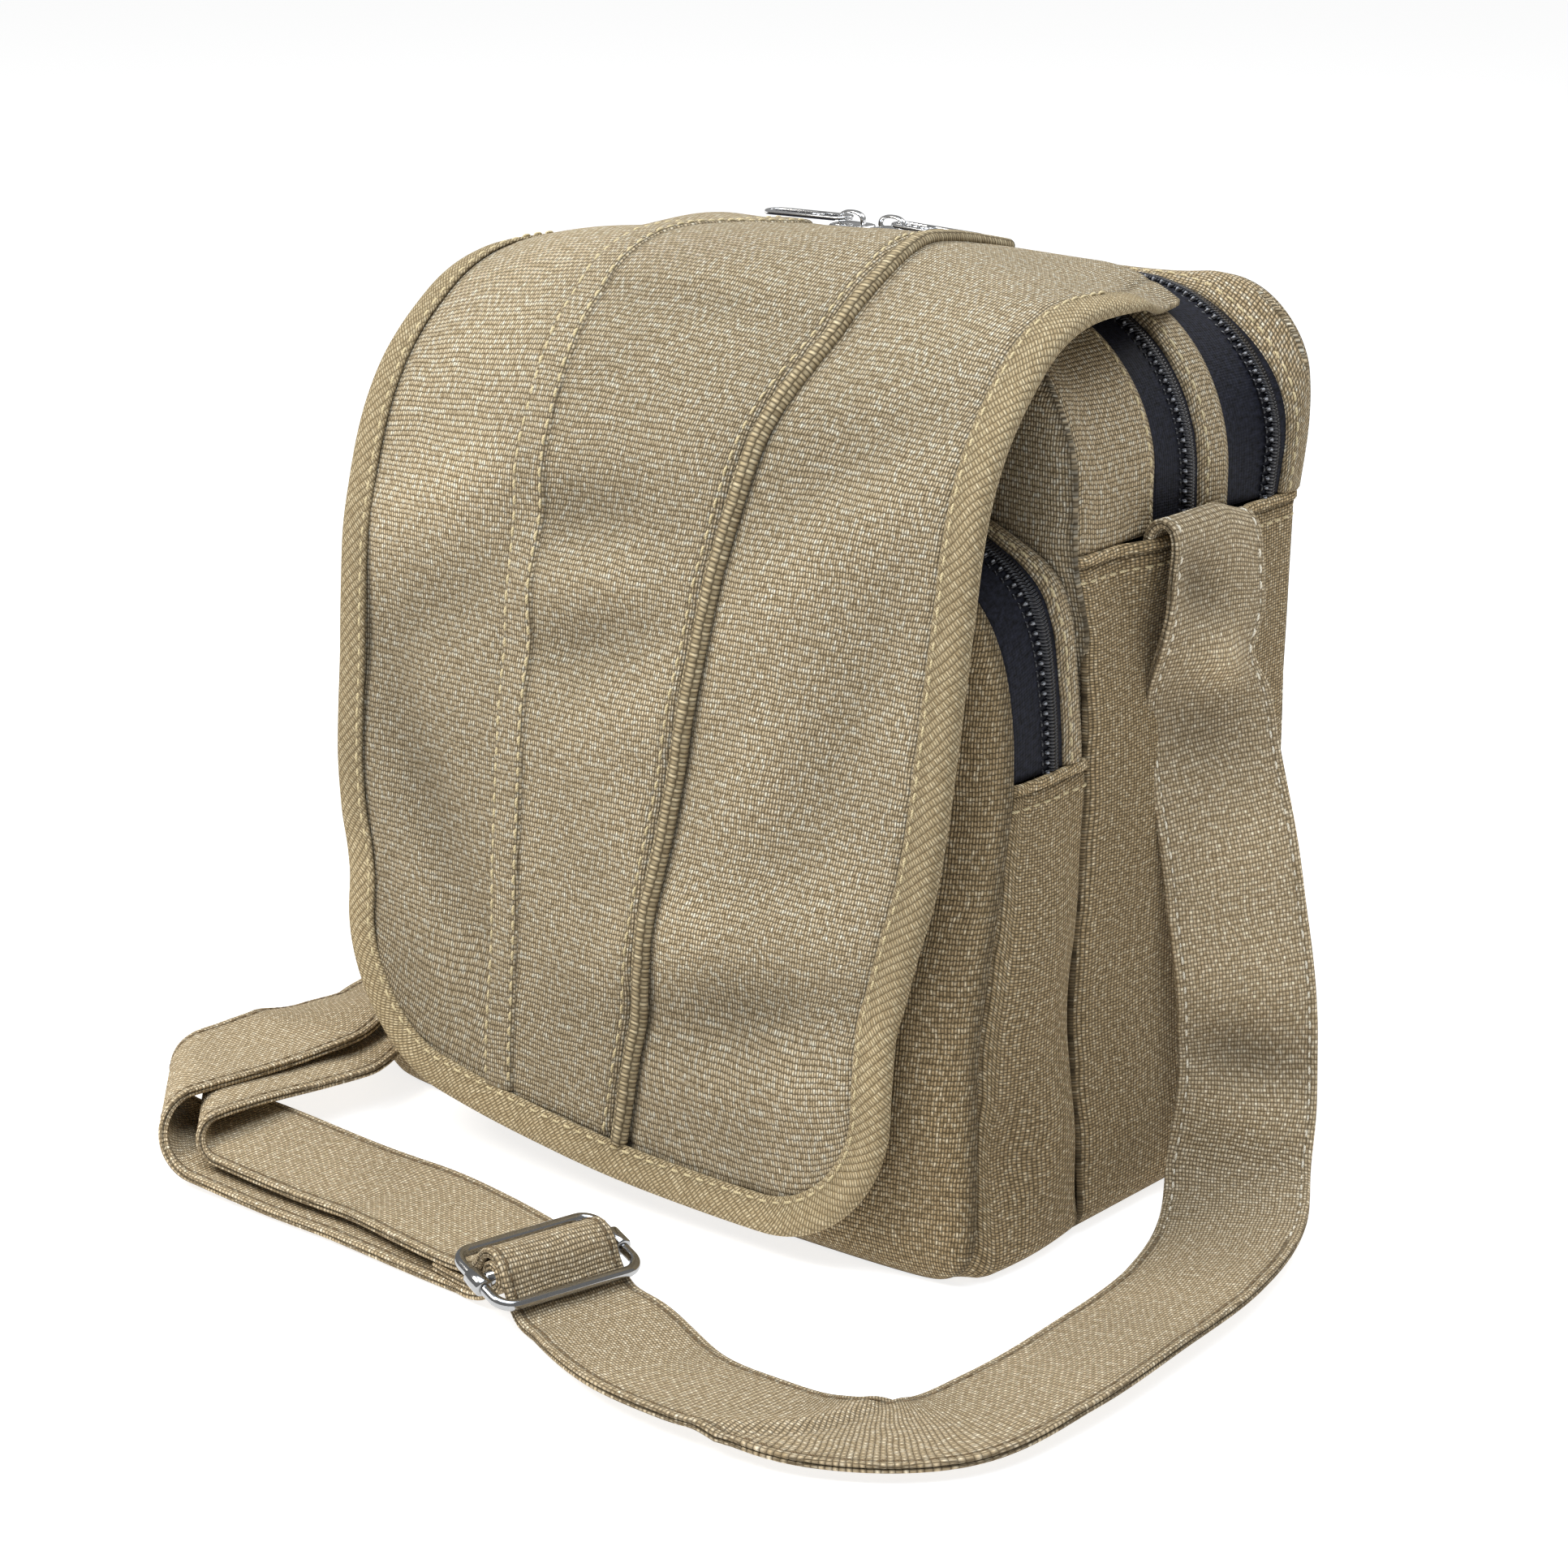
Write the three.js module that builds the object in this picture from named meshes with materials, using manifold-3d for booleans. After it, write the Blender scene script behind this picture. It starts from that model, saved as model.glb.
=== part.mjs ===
// Canvas shoulder bag: a hollow sewn body, a zipped front pocket, a bound flap and a strap with a slider.
// Millimetres, +Z up. The front faces -Y, the bag stands on z = 0.
// While it is built, y is measured from the front panel; at the end the base is centred on the origin.
import * as THREE from 'three';
import Module from 'manifold-3d';

const wasm = await Module();
wasm.setup();
const { Manifold } = wasm;

const V = (x, y, z) => new THREE.Vector3(x, y, z);

// Cloth and gaps
const CANVAS = 2;
const TAPE = 1;
const GAP = 0.3;

// Body
const HALF_WIDTH = 113;
const DEPTH = 105;
const HEIGHT = 250;
const HEM_Z = 190;
const BOTTOM_RADIUS = 22;
const FRONT_SEAM_RADIUS = 52;
const BACK_SEAM_RADIUS = 34;
const BACK_SAG = 6;
const BAND_RADIUS = 60;
const SIDE_BULGE = 2;

// Where each band of the top starts and ends, from the front panel to the back panel
const FRONT_BAND = [CANVAS + GAP, 37];
const FRONT_ZIP = [37 + GAP, 53];
const MIDDLE_BAND = [53 + GAP, 70.5];
const REAR_ZIP = [70.5 + GAP, 93.5];
const REAR_BAND = [93.5 + GAP, DEPTH - CANVAS - GAP];
const CHAIN_WIDTH = 8.5;
const CHAIN_HEIGHT = 1.8;
const TAPE_SINK = 1.2;

// Front pocket
const POCKET_HEM_Z = 134;
const POCKET_LIFT = 0.5;
const POCKET_RADIUS = 12;
const POCKET_ZIP_SHARE = 0.27;

// Flap
const FLAP_THICK = 2.4;
const FLAP_CORNER = 38;
const FLAP_LENGTH = 339;
const FLAP_TILT = 0.08;
const BINDING_WIDTH = 9;
const BINDING_WALL = 1.2;
const CORD_WIDTH = 5.5;
const CORD_HEIGHT = 2.4;

// Strap and its metal
const STRAP_WIDTH = 40;
const STRAP_THICK = 2.4;
const WIRE = 3.6;
const SLIDER_GAP = 26;

// Materials
const paint = (name, color, metalness, roughness) => {
  const material = new THREE.MeshStandardMaterial({ color, metalness, roughness });
  material.name = name;
  return material;
};
const canvas = paint('canvas', 0xa8936d, 0, 0.9);
const edging = paint('edging', 0x9a8560, 0, 0.9);
const zipTape = paint('zip_tape', 0x17181d, 0, 0.8);
const zipTeeth = paint('zip_teeth', 0x202126, 0.1, 0.45);
const chrome = paint('chrome', 0xd6d7d9, 1, 0.16);

// Small helpers
const lerp = (a, b, t) => a + (b - a) * t;
const clamp01 = (t) => Math.min(1, Math.max(0, t));
const smooth = (t) => clamp01(t) ** 2 * (3 - 2 * clamp01(t));
const bump = (t) => Math.exp(-t * t);
const range = (n) => Array.from({ length: n + 1 }, (_, i) => i / n);

// Reads a table of rows [key, value, ...] at a key between its rows, smoothly.
const tableAt = (table, key) => {
  let k = 0;
  while (k < table.length - 2 && key > table[k + 1][0]) k += 1;
  const t = clamp01((key - table[k][0]) / (table[k + 1][0] - table[k][0]));
  return table[k].slice(1).map((value, i) => lerp(value, table[k + 1][i + 1], t));
};

// Points evenly spread along a polyline
const spread = (all, count) => {
  const points = all.filter((p, i) => i === 0 || p.distanceTo(all[i - 1]) > 1e-6);
  const lengths = [0];
  for (let i = 1; i < points.length; i += 1) {
    lengths.push(lengths[i - 1] + points[i].distanceTo(points[i - 1]));
  }
  const total = lengths[lengths.length - 1];
  return range(count).map((t) => {
    const goal = t * total;
    let k = 0;
    while (k < points.length - 2 && goal > lengths[k + 1]) k += 1;
    const share = (goal - lengths[k]) / (lengths[k + 1] - lengths[k]);
    return points[k].clone().lerp(points[k + 1], share);
  });
};

// Makes a closed mesh face outward.
const solid = (positions, faces) => {
  let volume = 0;
  faces.forEach(([a, b, c]) => {
    volume += positions[a].dot(positions[b].clone().cross(positions[c]));
  });
  const flat = faces.flatMap(([a, b, c]) => (volume > 0 ? [a, b, c] : [a, c, b]));
  const geometry = new THREE.BufferGeometry().setFromPoints(positions);
  geometry.setIndex(flat);
  geometry.computeVertexNormals();
  return geometry;
};

// The way each point of a grid faces
const facing = (grid) => grid.map((row, i) => row.map((point, j) => {
  const down = grid[Math.min(i + 1, grid.length - 1)][j].clone().sub(grid[Math.max(i - 1, 0)][j]);
  const along = row[Math.min(j + 1, row.length - 1)].clone().sub(row[Math.max(j - 1, 0)]);
  return down.cross(along).normalize();
}));

// A sheet between two matching grids of points
const between = (grid, other) => {
  const rows = grid.length;
  const cols = grid[0].length;
  const positions = [...grid.flat(), ...other.flat()];
  const at = (side, i, j) => side * rows * cols + i * cols + j;
  const faces = [];
  const quad = (a, b, c, d) => faces.push([a, b, c], [a, c, d]);
  for (let i = 0; i + 1 < rows; i += 1) {
    for (let j = 0; j + 1 < cols; j += 1) {
      quad(at(0, i, j), at(0, i, j + 1), at(0, i + 1, j + 1), at(0, i + 1, j));
      quad(at(1, i, j), at(1, i + 1, j), at(1, i + 1, j + 1), at(1, i, j + 1));
    }
    quad(at(0, i, 0), at(0, i + 1, 0), at(1, i + 1, 0), at(1, i, 0));
    quad(at(0, i, cols - 1), at(1, i, cols - 1), at(1, i + 1, cols - 1), at(0, i + 1, cols - 1));
  }
  for (let j = 0; j + 1 < cols; j += 1) {
    quad(at(0, 0, j), at(1, 0, j), at(1, 0, j + 1), at(0, 0, j + 1));
    quad(at(0, rows - 1, j), at(0, rows - 1, j + 1), at(1, rows - 1, j + 1), at(1, rows - 1, j));
  }
  return solid(positions, faces);
};

// A cloth wall: the grid is moved along its facing by two amounts.
// A band moves square to the depth, so that its edges stay in line; a panel moves along the depth.
const free = V(1, 1, 1);
const square = V(1, 0, 1);
const deep = V(0, 1, 0);
const wall = (grid, from, to, kept = free) => {
  const normals = facing(grid).map((row) => row.map((n) => n.multiply(kept).normalize()));
  const step = (p, i, j, amount) => p.clone().addScaledVector(normals[i][j], amount);
  const moved = (amount) => grid.map((row, i) => row.map((p, j) => step(p, i, j, amount)));
  return between(moved(from), moved(to));
};

// A profile of [a, b] points carried along stations that each give a place and two directions
const sweep = (stations, profile, closed = false) => {
  const size = profile.length;
  const positions = stations.flatMap(({ at, a, b }) => profile.map(([p, q]) => at.clone()
    .addScaledVector(a, p).addScaledVector(b, q)));
  const faces = [];
  const last = closed ? stations.length : stations.length - 1;
  for (let i = 0; i < last; i += 1) {
    const here = i * size;
    const next = ((i + 1) % stations.length) * size;
    for (let k = 0; k < size; k += 1) {
      const m = (k + 1) % size;
      faces.push([here + k, here + m, next + m], [here + k, next + m, next + k]);
    }
  }
  if (!closed) {
    const end = (stations.length - 1) * size;
    const shape = profile.map(([p, q]) => new THREE.Vector2(p, q));
    THREE.ShapeUtils.triangulateShape(shape, []).forEach(([a, b, c]) => {
      faces.push([a, c, b], [end + a, end + b, end + c]);
    });
  }
  return solid(positions, faces);
};

const circle = (radius, sides) => range(sides).slice(0, sides).map((t) => {
  const angle = 2 * Math.PI * t;
  return [radius * Math.cos(angle), radius * Math.sin(angle)];
});

const box = (half, top, bottom = -top) => [[-half, bottom], [half, bottom], [half, top], [-half, top]];

const group = new THREE.Group();
const add = (name, geometry, material) => {
  geometry.translate(0, -DEPTH / 2, 0);
  const mesh = new THREE.Mesh(geometry, material);
  mesh.name = name;
  group.add(mesh);
};

// A half outline that ends on the middle, with its mirror image
const bothSides = (right) => [...right, ...right.slice(0, -1).map((p) => V(-p.x, p.y, p.z)).reverse()];

// BODY

// The top sinks towards the back, least at the right-hand corner.
const topSag = (x, y) => {
  const across = x > 0 ? Math.max(0, 1 - (x / 85) ** 2) : smooth((HALF_WIDTH + x) / 50);
  return BACK_SAG * smooth((y - 60) / 45) * across;
};

// The outline of the top, from the right hem over to the left hem, at one depth
const topOutline = (y, count) => {
  const seamRadius = y < DEPTH / 2 ? FRONT_SEAM_RADIUS : BACK_SEAM_RADIUS;
  const radius = lerp(seamRadius, BAND_RADIUS, smooth(Math.min(y / 16, (DEPTH - y) / 11.5)));
  const right = [V(HALF_WIDTH, y, HEM_Z + GAP)];
  range(10).forEach((t) => {
    const angle = t * Math.PI / 2;
    const x = HALF_WIDTH - radius + radius * Math.cos(angle);
    right.push(V(x, y, HEIGHT - radius + radius * Math.sin(angle) + GAP));
  });
  range(4).slice(1, -1).forEach((t) => right.push(V((HALF_WIDTH - radius) * (1 - t), y, HEIGHT + GAP)));
  right.push(V(0, y, HEIGHT + GAP));
  return spread(bothSides(right), count).map((p) => p.setZ(p.z - topSag(p.x, y)));
};

// The outline of the sides and bottom, from the right hem down and round to the left hem
const lowOutline = (hem, radius, floor, steps) => {
  const right = range(steps).map((t) => V(HALF_WIDTH, 0, lerp(hem, radius, t)));
  range(5).slice(1).forEach((t) => {
    const angle = t * Math.PI / 2;
    const x = HALF_WIDTH - radius * (1 - Math.cos(angle));
    right.push(V(x, 0, lerp(radius, floor, Math.sin(angle))));
  });
  right.push(V(HALF_WIDTH * 0.4, 0, floor), V(0, 0, floor));
  return bothSides(right);
};

const band = (from, to, steps, count) => range(steps).map((t) => topOutline(lerp(from, to, t), count));

const gussetGrid = range(4).map((t) => lowOutline(HEM_Z, BOTTOM_RADIUS, 0, 6).map((p) => {
  const y = lerp(CANVAS + GAP, DEPTH - CANVAS - GAP, t);
  const bulge = SIDE_BULGE * Math.sin(Math.PI * y / DEPTH) * Math.sin(Math.PI * p.z / HEM_Z);
  return V(p.x + Math.sign(p.x) * bulge, y, p.z);
}));
add('side_band', wall(gussetGrid, 0, CANVAS, square), canvas);
add('front_top_band', wall(band(...FRONT_BAND, 2, 26), 0, -CANVAS, square), canvas);
add('middle_top_band', wall(band(...MIDDLE_BAND, 1, 26), 0, -CANVAS, square), canvas);
add('rear_top_band', wall(band(...REAR_BAND, 1, 26), 0, -CANVAS, square), canvas);

// Half the width of a body panel at a height, and its rows of points
const panelHalf = (z, radius) => {
  const low = clamp01(1 - z / BOTTOM_RADIUS);
  const high = clamp01((z - HEIGHT + radius) / radius);
  return HALF_WIDTH - BOTTOM_RADIUS * (1 - Math.sqrt(1 - low ** 2)) - radius * (1 - Math.sqrt(1 - high ** 2));
};
const panelGrid = (y, bulge, radius) => {
  const rows = [
    ...range(4).map((t) => BOTTOM_RADIUS * (1 - Math.cos(t * Math.PI / 2))),
    ...range(5).slice(1, -1).map((t) => lerp(BOTTOM_RADIUS, HEIGHT - radius, t)),
    ...range(6).map((t) => HEIGHT - radius * (1 - Math.sin(t * Math.PI / 2))),
  ];
  return rows.map((z) => range(8).map((t) => {
    const u = 2 * t - 1;
    const x = u * panelHalf(z, radius);
    const swell = bulge * (1 - u ** 2) * Math.sin(Math.PI * z / HEIGHT);
    return V(x, y + swell, z - topSag(x, y) * smooth((z - 150) / 100));
  }));
};
add('front_panel', wall(panelGrid(0, 0, FRONT_SEAM_RADIUS), 0, CANVAS, deep), canvas);
add('back_panel', wall(panelGrid(DEPTH, 5, BACK_SEAM_RADIUS), 0, -CANVAS, deep), canvas);

// A zipper of the top: a sunk tape, and a chain along its rear edge
const zipper = (name, [from, to]) => {
  const tapeGrid = band(from, to - GAP, 1, 26);
  add(`${name}_zip_tape`, wall(tapeGrid, -TAPE_SINK, -TAPE_SINK - TAPE, square), zipTape);
  const chainGrid = band(to - GAP - CHAIN_WIDTH, to - GAP - 0.4, 1, 26);
  const foot = -TAPE_SINK + GAP;
  add(`${name}_zip_chain`, wall(chainGrid, foot + CHAIN_HEIGHT, foot, square), zipTeeth);
};
zipper('front', FRONT_ZIP);
zipper('rear', REAR_ZIP);

// FRONT POCKET

// The pocket's arch where it meets the body, and along its front edge: x, z from the side up to the middle
const ARCH_REAR = [
  [113, 134], [113, 150], [112.6, 163], [110.5, 172], [106, 178.5], [95, 186], [81, 193.5],
  [60, 202.5], [40, 208], [20, 211.5], [0, 212.6],
];
const ARCH_FRONT = [
  [113, 134], [112.5, 150], [110, 165], [105.5, 176], [98, 185], [86, 193.5], [70, 200],
  [50, 204.5], [30, 207.5], [14, 208.7], [0, 209],
];

// Depth of the pocket's front edge at a height
const POCKET_EDGE = [
  [0, -47], [12, -46], [46, -42.5], [72, -39.5], [95, -34.5], [116, -30], [134, -27.5], [212, -29],
];
const pocketEdge = (z) => tableAt(POCKET_EDGE, z)[0];

const archLine = (table, count) => {
  const points = bothSides(table.map(([x, z]) => V(x, 0, z)));
  return spread(new THREE.CatmullRomCurve3(points, false, 'centripetal').getPoints(120), count);
};
const archGrid = (from, to, count) => {
  const rear = archLine(ARCH_REAR, count);
  const front = archLine(ARCH_FRONT, count);
  return [from, to].map((share) => rear.map((p, i) => {
    const z = lerp(p.z, front[i].z, share) + GAP;
    return V(lerp(p.x, front[i].x, share), lerp(-GAP, pocketEdge(front[i].z), share), z);
  }));
};
const ARCH_STEPS = 28;
const chainShare = POCKET_ZIP_SHARE + 0.32;
const chainGrid = archGrid(chainShare, POCKET_ZIP_SHARE + 0.03, ARCH_STEPS);
const tapeGrid = archGrid(0.92, POCKET_ZIP_SHARE + 0.015, ARCH_STEPS);
add('pocket_top_band', wall(archGrid(POCKET_ZIP_SHARE, 0.02, ARCH_STEPS), 0, -CANVAS, square), canvas);
add('pocket_zip_tape', wall(tapeGrid, -TAPE_SINK, -TAPE_SINK - TAPE, square), zipTape);
const chainFoot = -TAPE_SINK + 2 * GAP;
add('pocket_zip_chain', wall(chainGrid, chainFoot + CHAIN_HEIGHT, chainFoot, square), zipTeeth);

// The band round the pocket's sides and bottom
// On the left the pocket's foot is tucked back under the flap.
const footTuck = (x, z) => 14 * smooth((-x - 10) / 80) * smooth((80 - z) / 80);
const pocketLow = lowOutline(POCKET_HEM_Z, POCKET_RADIUS, POCKET_LIFT, 4);
const pocketBandGrid = range(3).map((t) => pocketLow.map((p) => {
  const puff = 2.5 * Math.sin(Math.PI * t) * Math.sin(Math.PI * clamp01(p.z / POCKET_HEM_Z));
  const edge = pocketEdge(p.z) + footTuck(p.x, p.z) + CANVAS + 3 * GAP;
  return V(p.x + Math.sign(p.x) * puff, lerp(edge, -GAP, t), p.z);
}));
add('pocket_band', wall(pocketBandGrid, 0, CANVAS, square), canvas);

// The pocket's front panel swells forward from its edge.
const pocketHalf = (z) => {
  const arch = ARCH_FRONT.map(([x, height]) => [height, x]);
  if (z > POCKET_HEM_Z) return tableAt(arch, z)[0];
  const low = clamp01(1 - (z - POCKET_LIFT) / (POCKET_RADIUS - POCKET_LIFT));
  return HALF_WIDTH - POCKET_RADIUS * (1 - Math.sqrt(1 - low ** 2));
};
const POCKET_SWELL = [[0, 3], [6, 8], [14, 11], [46, 15], [95, 18], [134, 19], [170, 14], [195, 5], [209, 1]];
const pocketRows = [
  ...range(4).map((t) => lerp(POCKET_LIFT, POCKET_RADIUS, 1 - Math.cos(t * Math.PI / 2))),
  26, 46, 68, 90, 112, 134, 150, 165, 176, 185, 193.5, 200, 204.5, 207,
];
const pocketPoint = (u, z) => {
  const swell = tableAt(POCKET_SWELL, z)[0] * Math.sqrt(1 - u ** 4);
  const x = u * pocketHalf(z);
  return V(x, pocketEdge(z) + footTuck(x, z) - swell, z);
};
const pocketCols = [-1, -0.96, -0.85, -0.6, -0.2, 0.2, 0.6, 0.85, 0.96, 1];
const pocketGrid = pocketRows.map((z) => pocketCols.map((u) => pocketPoint(u, z)));
add('pocket_panel', wall(pocketGrid, 0, CANVAS, deep), canvas);

// FLAP

// The flap's middle line from its sewn edge forward over the top and down the front: y, z
const FLAP_LINE = [
  [73, 252], [60, 254.2], [40, 257.5], [20, 260], [4, 259.2], [-10, 254], [-21, 245], [-31, 232.5],
  [-39, 217], [-44.5, 200], [-48.5, 180], [-53, 148], [-57.5, 102], [-61.5, 55], [-65.5, 3],
];
const flapCurve = new THREE.CatmullRomCurve3(FLAP_LINE.map(([y, z]) => V(0, y, z)), false, 'centripetal');
flapCurve.arcLengthDivisions = 600;
const flapTotal = flapCurve.getLength();

// How far the flap's two edges stand from the middle along its length: s, left, right
const FLAP_SIDES = [
  [0, 90, 92], [15, 93, 97], [35, 96, 105], [52, 98, 108], [100, 101, 110], [130, 104, 111], [156, 107, 111],
  [200, 108, 110], [240, 107, 106.5], [265, 104.5, 102.5], [285, 101, 99], [300, 98, 97], [400, 98, 97],
];
const flapLeft = (s) => -tableAt(FLAP_SIDES, s)[0];
const flapRight = (s) => tableAt(FLAP_SIDES, s)[1];

// Where its two seams run: s, x of the left one, x of the right one
const FLAP_SEAMS = [
  [0, -40, 36], [20, -40, 37], [50, -40, 42], [75, -40, 46], [100, -39.5, 44], [130, -39, 37],
  [170, -38.5, 31], [220, -38, 24], [270, -37.5, 16.5], [340, -37, 8],
];
const seamLeft = (s) => tableAt(FLAP_SEAMS, s)[0];
const seamRight = (s) => tableAt(FLAP_SEAMS, s)[1];

// How far the flap reaches at a place across its lower edge, which is a little lower on the right
const flapReach = (x) => {
  const edge = x < 0 ? 98 : 97;
  const past = Math.min(FLAP_CORNER, Math.max(0, Math.abs(x) - edge + FLAP_CORNER));
  const corner = FLAP_CORNER - Math.sqrt(FLAP_CORNER ** 2 - past ** 2);
  return FLAP_LENGTH + FLAP_TILT * x - 3 * (x / 66) ** 2 - corner;
};

// The height of the body's top outline at a place across it
const bodyTop = (x) => {
  const past = Math.max(0, Math.abs(x) - (HALF_WIDTH - BAND_RADIUS));
  return HEIGHT - BAND_RADIUS + Math.sqrt(Math.max(0, BAND_RADIUS ** 2 - past ** 2));
};

// A point of the flap's middle surface: x across, s along
const flapPoint = (x, s) => {
  const p = flapCurve.getPointAt(clamp01(s / flapTotal));
  const across = (x / 108) ** 2;
  const loose = smooth(s / 38);
  const top = 1 - smooth((s - 85) / 90);
  const crown = (x < 0 ? 17 : 8.5) * across * top;
  const hinge = HEIGHT - bodyTop(x);
  const dent = 4.5 * bump((x - 40) / 34) * bump((s - 92) / 30);
  return V(x, p.y + 3 * across * (1 - top) + dent * 0.7, p.z - lerp(hinge, crown, loose) - dent * 0.7);
};
const FLAP_ROWS = [0, 8, 20, 36, 52, 68, 82, 94, 106, 120, 136, 156, 180, 210, 240, 265, 285];
const FLAP_TAIL = [0.4, 0.75, 1];
const flapGrid = (left, right, steps) => {
  const ends = steps.map((q) => flapReach(lerp(left(FLAP_LENGTH), right(FLAP_LENGTH), q)));
  const place = (q, s) => flapPoint(lerp(left(s), right(s), q), s);
  const last = FLAP_ROWS[FLAP_ROWS.length - 1];
  return [
    ...FLAP_ROWS.map((s) => steps.map((q) => place(q, s))),
    ...FLAP_TAIL.map((t) => steps.map((q, j) => place(q, lerp(last, ends[j], t)))),
  ];
};
const outward = [0, 0.02, 0.07, 0.16, 0.3, 0.5, 0.75, 1];
const flapGrids = {
  flap_left: flapGrid(flapLeft, (s) => seamLeft(s) - GAP / 2, outward),
  flap_centre: flapGrid((s) => seamLeft(s) + GAP / 2, (s) => seamRight(s) - GAP / 2, range(3)),
  flap_right: flapGrid((s) => seamRight(s) + GAP / 2, flapRight, outward.map((q) => 1 - q).reverse()),
};
Object.entries(flapGrids).forEach(([name, grid]) => {
  add(name, wall(grid, FLAP_THICK / 2, -FLAP_THICK / 2), canvas);
});

// The free edge of the flap, from the right end of its seam round to the left end, with the way it faces
const flapEdge = () => {
  const grids = [flapGrids.flap_left, flapGrids.flap_centre, flapGrids.flap_right];
  const normals = grids.map(facing);
  const rows = flapGrids.flap_left.length;
  const pick = (k, i, j) => ({ at: grids[k][i][j].clone(), b: normals[k][i][j].clone() });
  const side = (k, i, j, inner) => {
    const { at, b } = pick(k, i, j);
    const out = at.clone().sub(grids[k][i][inner]).normalize();
    return { at, b: b.addScaledVector(out, -b.dot(out)).normalize() };
  };
  const places = [];
  const rightEnd = grids[2][0].length - 1;
  for (let i = 2; i < rows; i += 1) places.push(side(2, i, rightEnd, rightEnd - 3));
  for (let j = rightEnd - 1; j > 0; j -= 1) places.push(pick(2, rows - 1, j));
  for (let j = 2; j > 0; j -= 1) places.push(pick(1, rows - 1, j));
  for (let j = grids[0][0].length - 2; j > 0; j -= 1) places.push(pick(0, rows - 1, j));
  for (let i = rows - 1; i > 1; i -= 1) places.push(side(0, i, 0, 3));
  return places;
};
const edgeStations = flapEdge().map(({ at, b }, i, all) => {
  const along = all[Math.min(i + 1, all.length - 1)].at.clone().sub(all[Math.max(i - 1, 0)].at).normalize();
  return { at, a: b.clone().cross(along).normalize(), b };
});
const flapFacing = (x, s) => {
  const along = flapPoint(x, s + 1).sub(flapPoint(x, s - 1));
  return flapPoint(x + 1, s).sub(flapPoint(x - 1, s)).cross(along).normalize().negate();
};
const slot = FLAP_THICK / 2 + 1;
const skin = slot + BINDING_WALL;
const bindingProfile = [
  [-BINDING_WIDTH, skin], [-BINDING_WIDTH, slot], [0.8, slot], [0.8, -slot], [-BINDING_WIDTH, -slot],
  [-BINDING_WIDTH, -skin], [0.6, -skin], [2.2, 0], [0.6, skin],
];
add('flap_binding', sweep(edgeStations, bindingProfile), edging);

// The raised cord seam along the right of the centre panel
const cordStations = range(24).map((t) => {
  const s = lerp(6, flapReach(seamRight(FLAP_LENGTH)) - BINDING_WIDTH - 1.5, t);
  const x = seamRight(s);
  const along = flapPoint(seamRight(s + 1), s + 1).sub(flapPoint(seamRight(s - 1), s - 1)).normalize();
  const b = flapFacing(x, s);
  const at = flapPoint(x, s).addScaledVector(b, FLAP_THICK / 2 + 2 * GAP);
  return { at, a: along.cross(b).normalize(), b };
});
const half = CORD_WIDTH / 2;
const shoulder = [half * 0.75, CORD_HEIGHT * 0.8];
const cordProfile = [[-half, 0], [half, 0], shoulder, [0, CORD_HEIGHT], [-shoulder[0], shoulder[1]]];
add('flap_cord', sweep(cordStations, cordProfile), edging);

// STRAP

// The strap's middle line: x, y, z, then the way across it from its inner edge to its outer edge
// The right-hand side: a tail behind the hem, a fold over it, the drop to the floor and the run to the slider
const STRAP_RIGHT = [
  [115.4, 52.5, 178, 0, 1, 0], [115.4, 52.5, 190, 0, 1, 0],
  [116.4, 52.5, 193.2, 0, 1, 0], [118.6, 52.5, 194.4, 0, 1, 0], [121, 52.5, 193, 0, 1, 0],
  [122.2, 52.5, 188, 0, 1, 0], [122.6, 52.5, 172, 0.05, 1, 0], [121.5, 52.5, 140, 0.13, 0.99, 0],
  [127, 56, 88, 0.33, 0.93, -0.17], [131.5, 57, 40, 0.45, 0.88, -0.13], [137.5, 49.5, 13, 0.64, 0.76, -0.1],
  [149, 28, 3.6, 0.86, 0.5, -0.05], [163, -7, 1.7, 1, 0.1, 0], [168, -52, 1.7, 0.99, -0.14, 0],
  [161.5, -90, 1.8, 0.98, -0.2, 0], [155, -118.5, 2.2, 0.92, -0.39, 0], [142, -136, 3.2, 0.6, -0.8, 0.05],
  [116, -138.5, 4.8, 0.14, -0.98, 0.16], [89, -137, 5.8, -0.17, -0.97, 0.18],
];

// The left-hand side after the diagonal fold, back along the floor and up to the ring; last the layers' gap
const STRAP_LEFT = [
  [-136, -42, 12.5, 0.97, 0.05, 0.2, 2.4], [-138.5, -8, 6.5, 1, 0, 0.04, 1.9],
  [-146, 22, 4.6, 0.95, -0.3, 0, 1.6], [-138.5, 47, 14, 0.64, -0.76, 0.1, 1.6],
  [-130, 56, 42, 0.42, -0.9, 0.1, 1.6], [-124.5, 54, 88, 0.2, -0.98, 0, 1.6],
  [-121.4, 52.5, 118, 0, -1, 0, 1.8], [-120.8, 52.5, 132, 0, -1, 0, 2.4],
];

// The slider lies in front of the bag; e runs along the strap through it, from right to left.
const SLIDER_AT = V(33, -119, 0);
const SLIDER_ALONG = V(-0.97, 0.24, 0).normalize();
const SLIDER_ACROSS = V(-0.24, -0.97, 0).normalize();
const BAR_Z = 11.2;
const OVER_BAR = [
  [-24, 3.6], [-18, 4.6], [-13.4, 6.6], [-9.2, 9.6], [-6.1, 12.2], [-4.3, 15.4], [0, 17.2],
  [4.3, 15.4], [6.1, 12.2], [9.2, 9.6], [13.4, 7], [19, 7.2],
];
const ROUND_BAR = [
  [19, 1.9], [12, 2.1], [6.5, 3.6], [2.2, 6.2], [-0.8, 7.9], [-2.7, 9.3], [-3.3, 11.2], [-2.4, 13.4],
  [0, 14.5], [2.4, 13.4], [3.3, 11.2], [3.8, 9], [6, 6.6], [10, 5.2], [16, 4.8], [27, 4.8],
];
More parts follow.
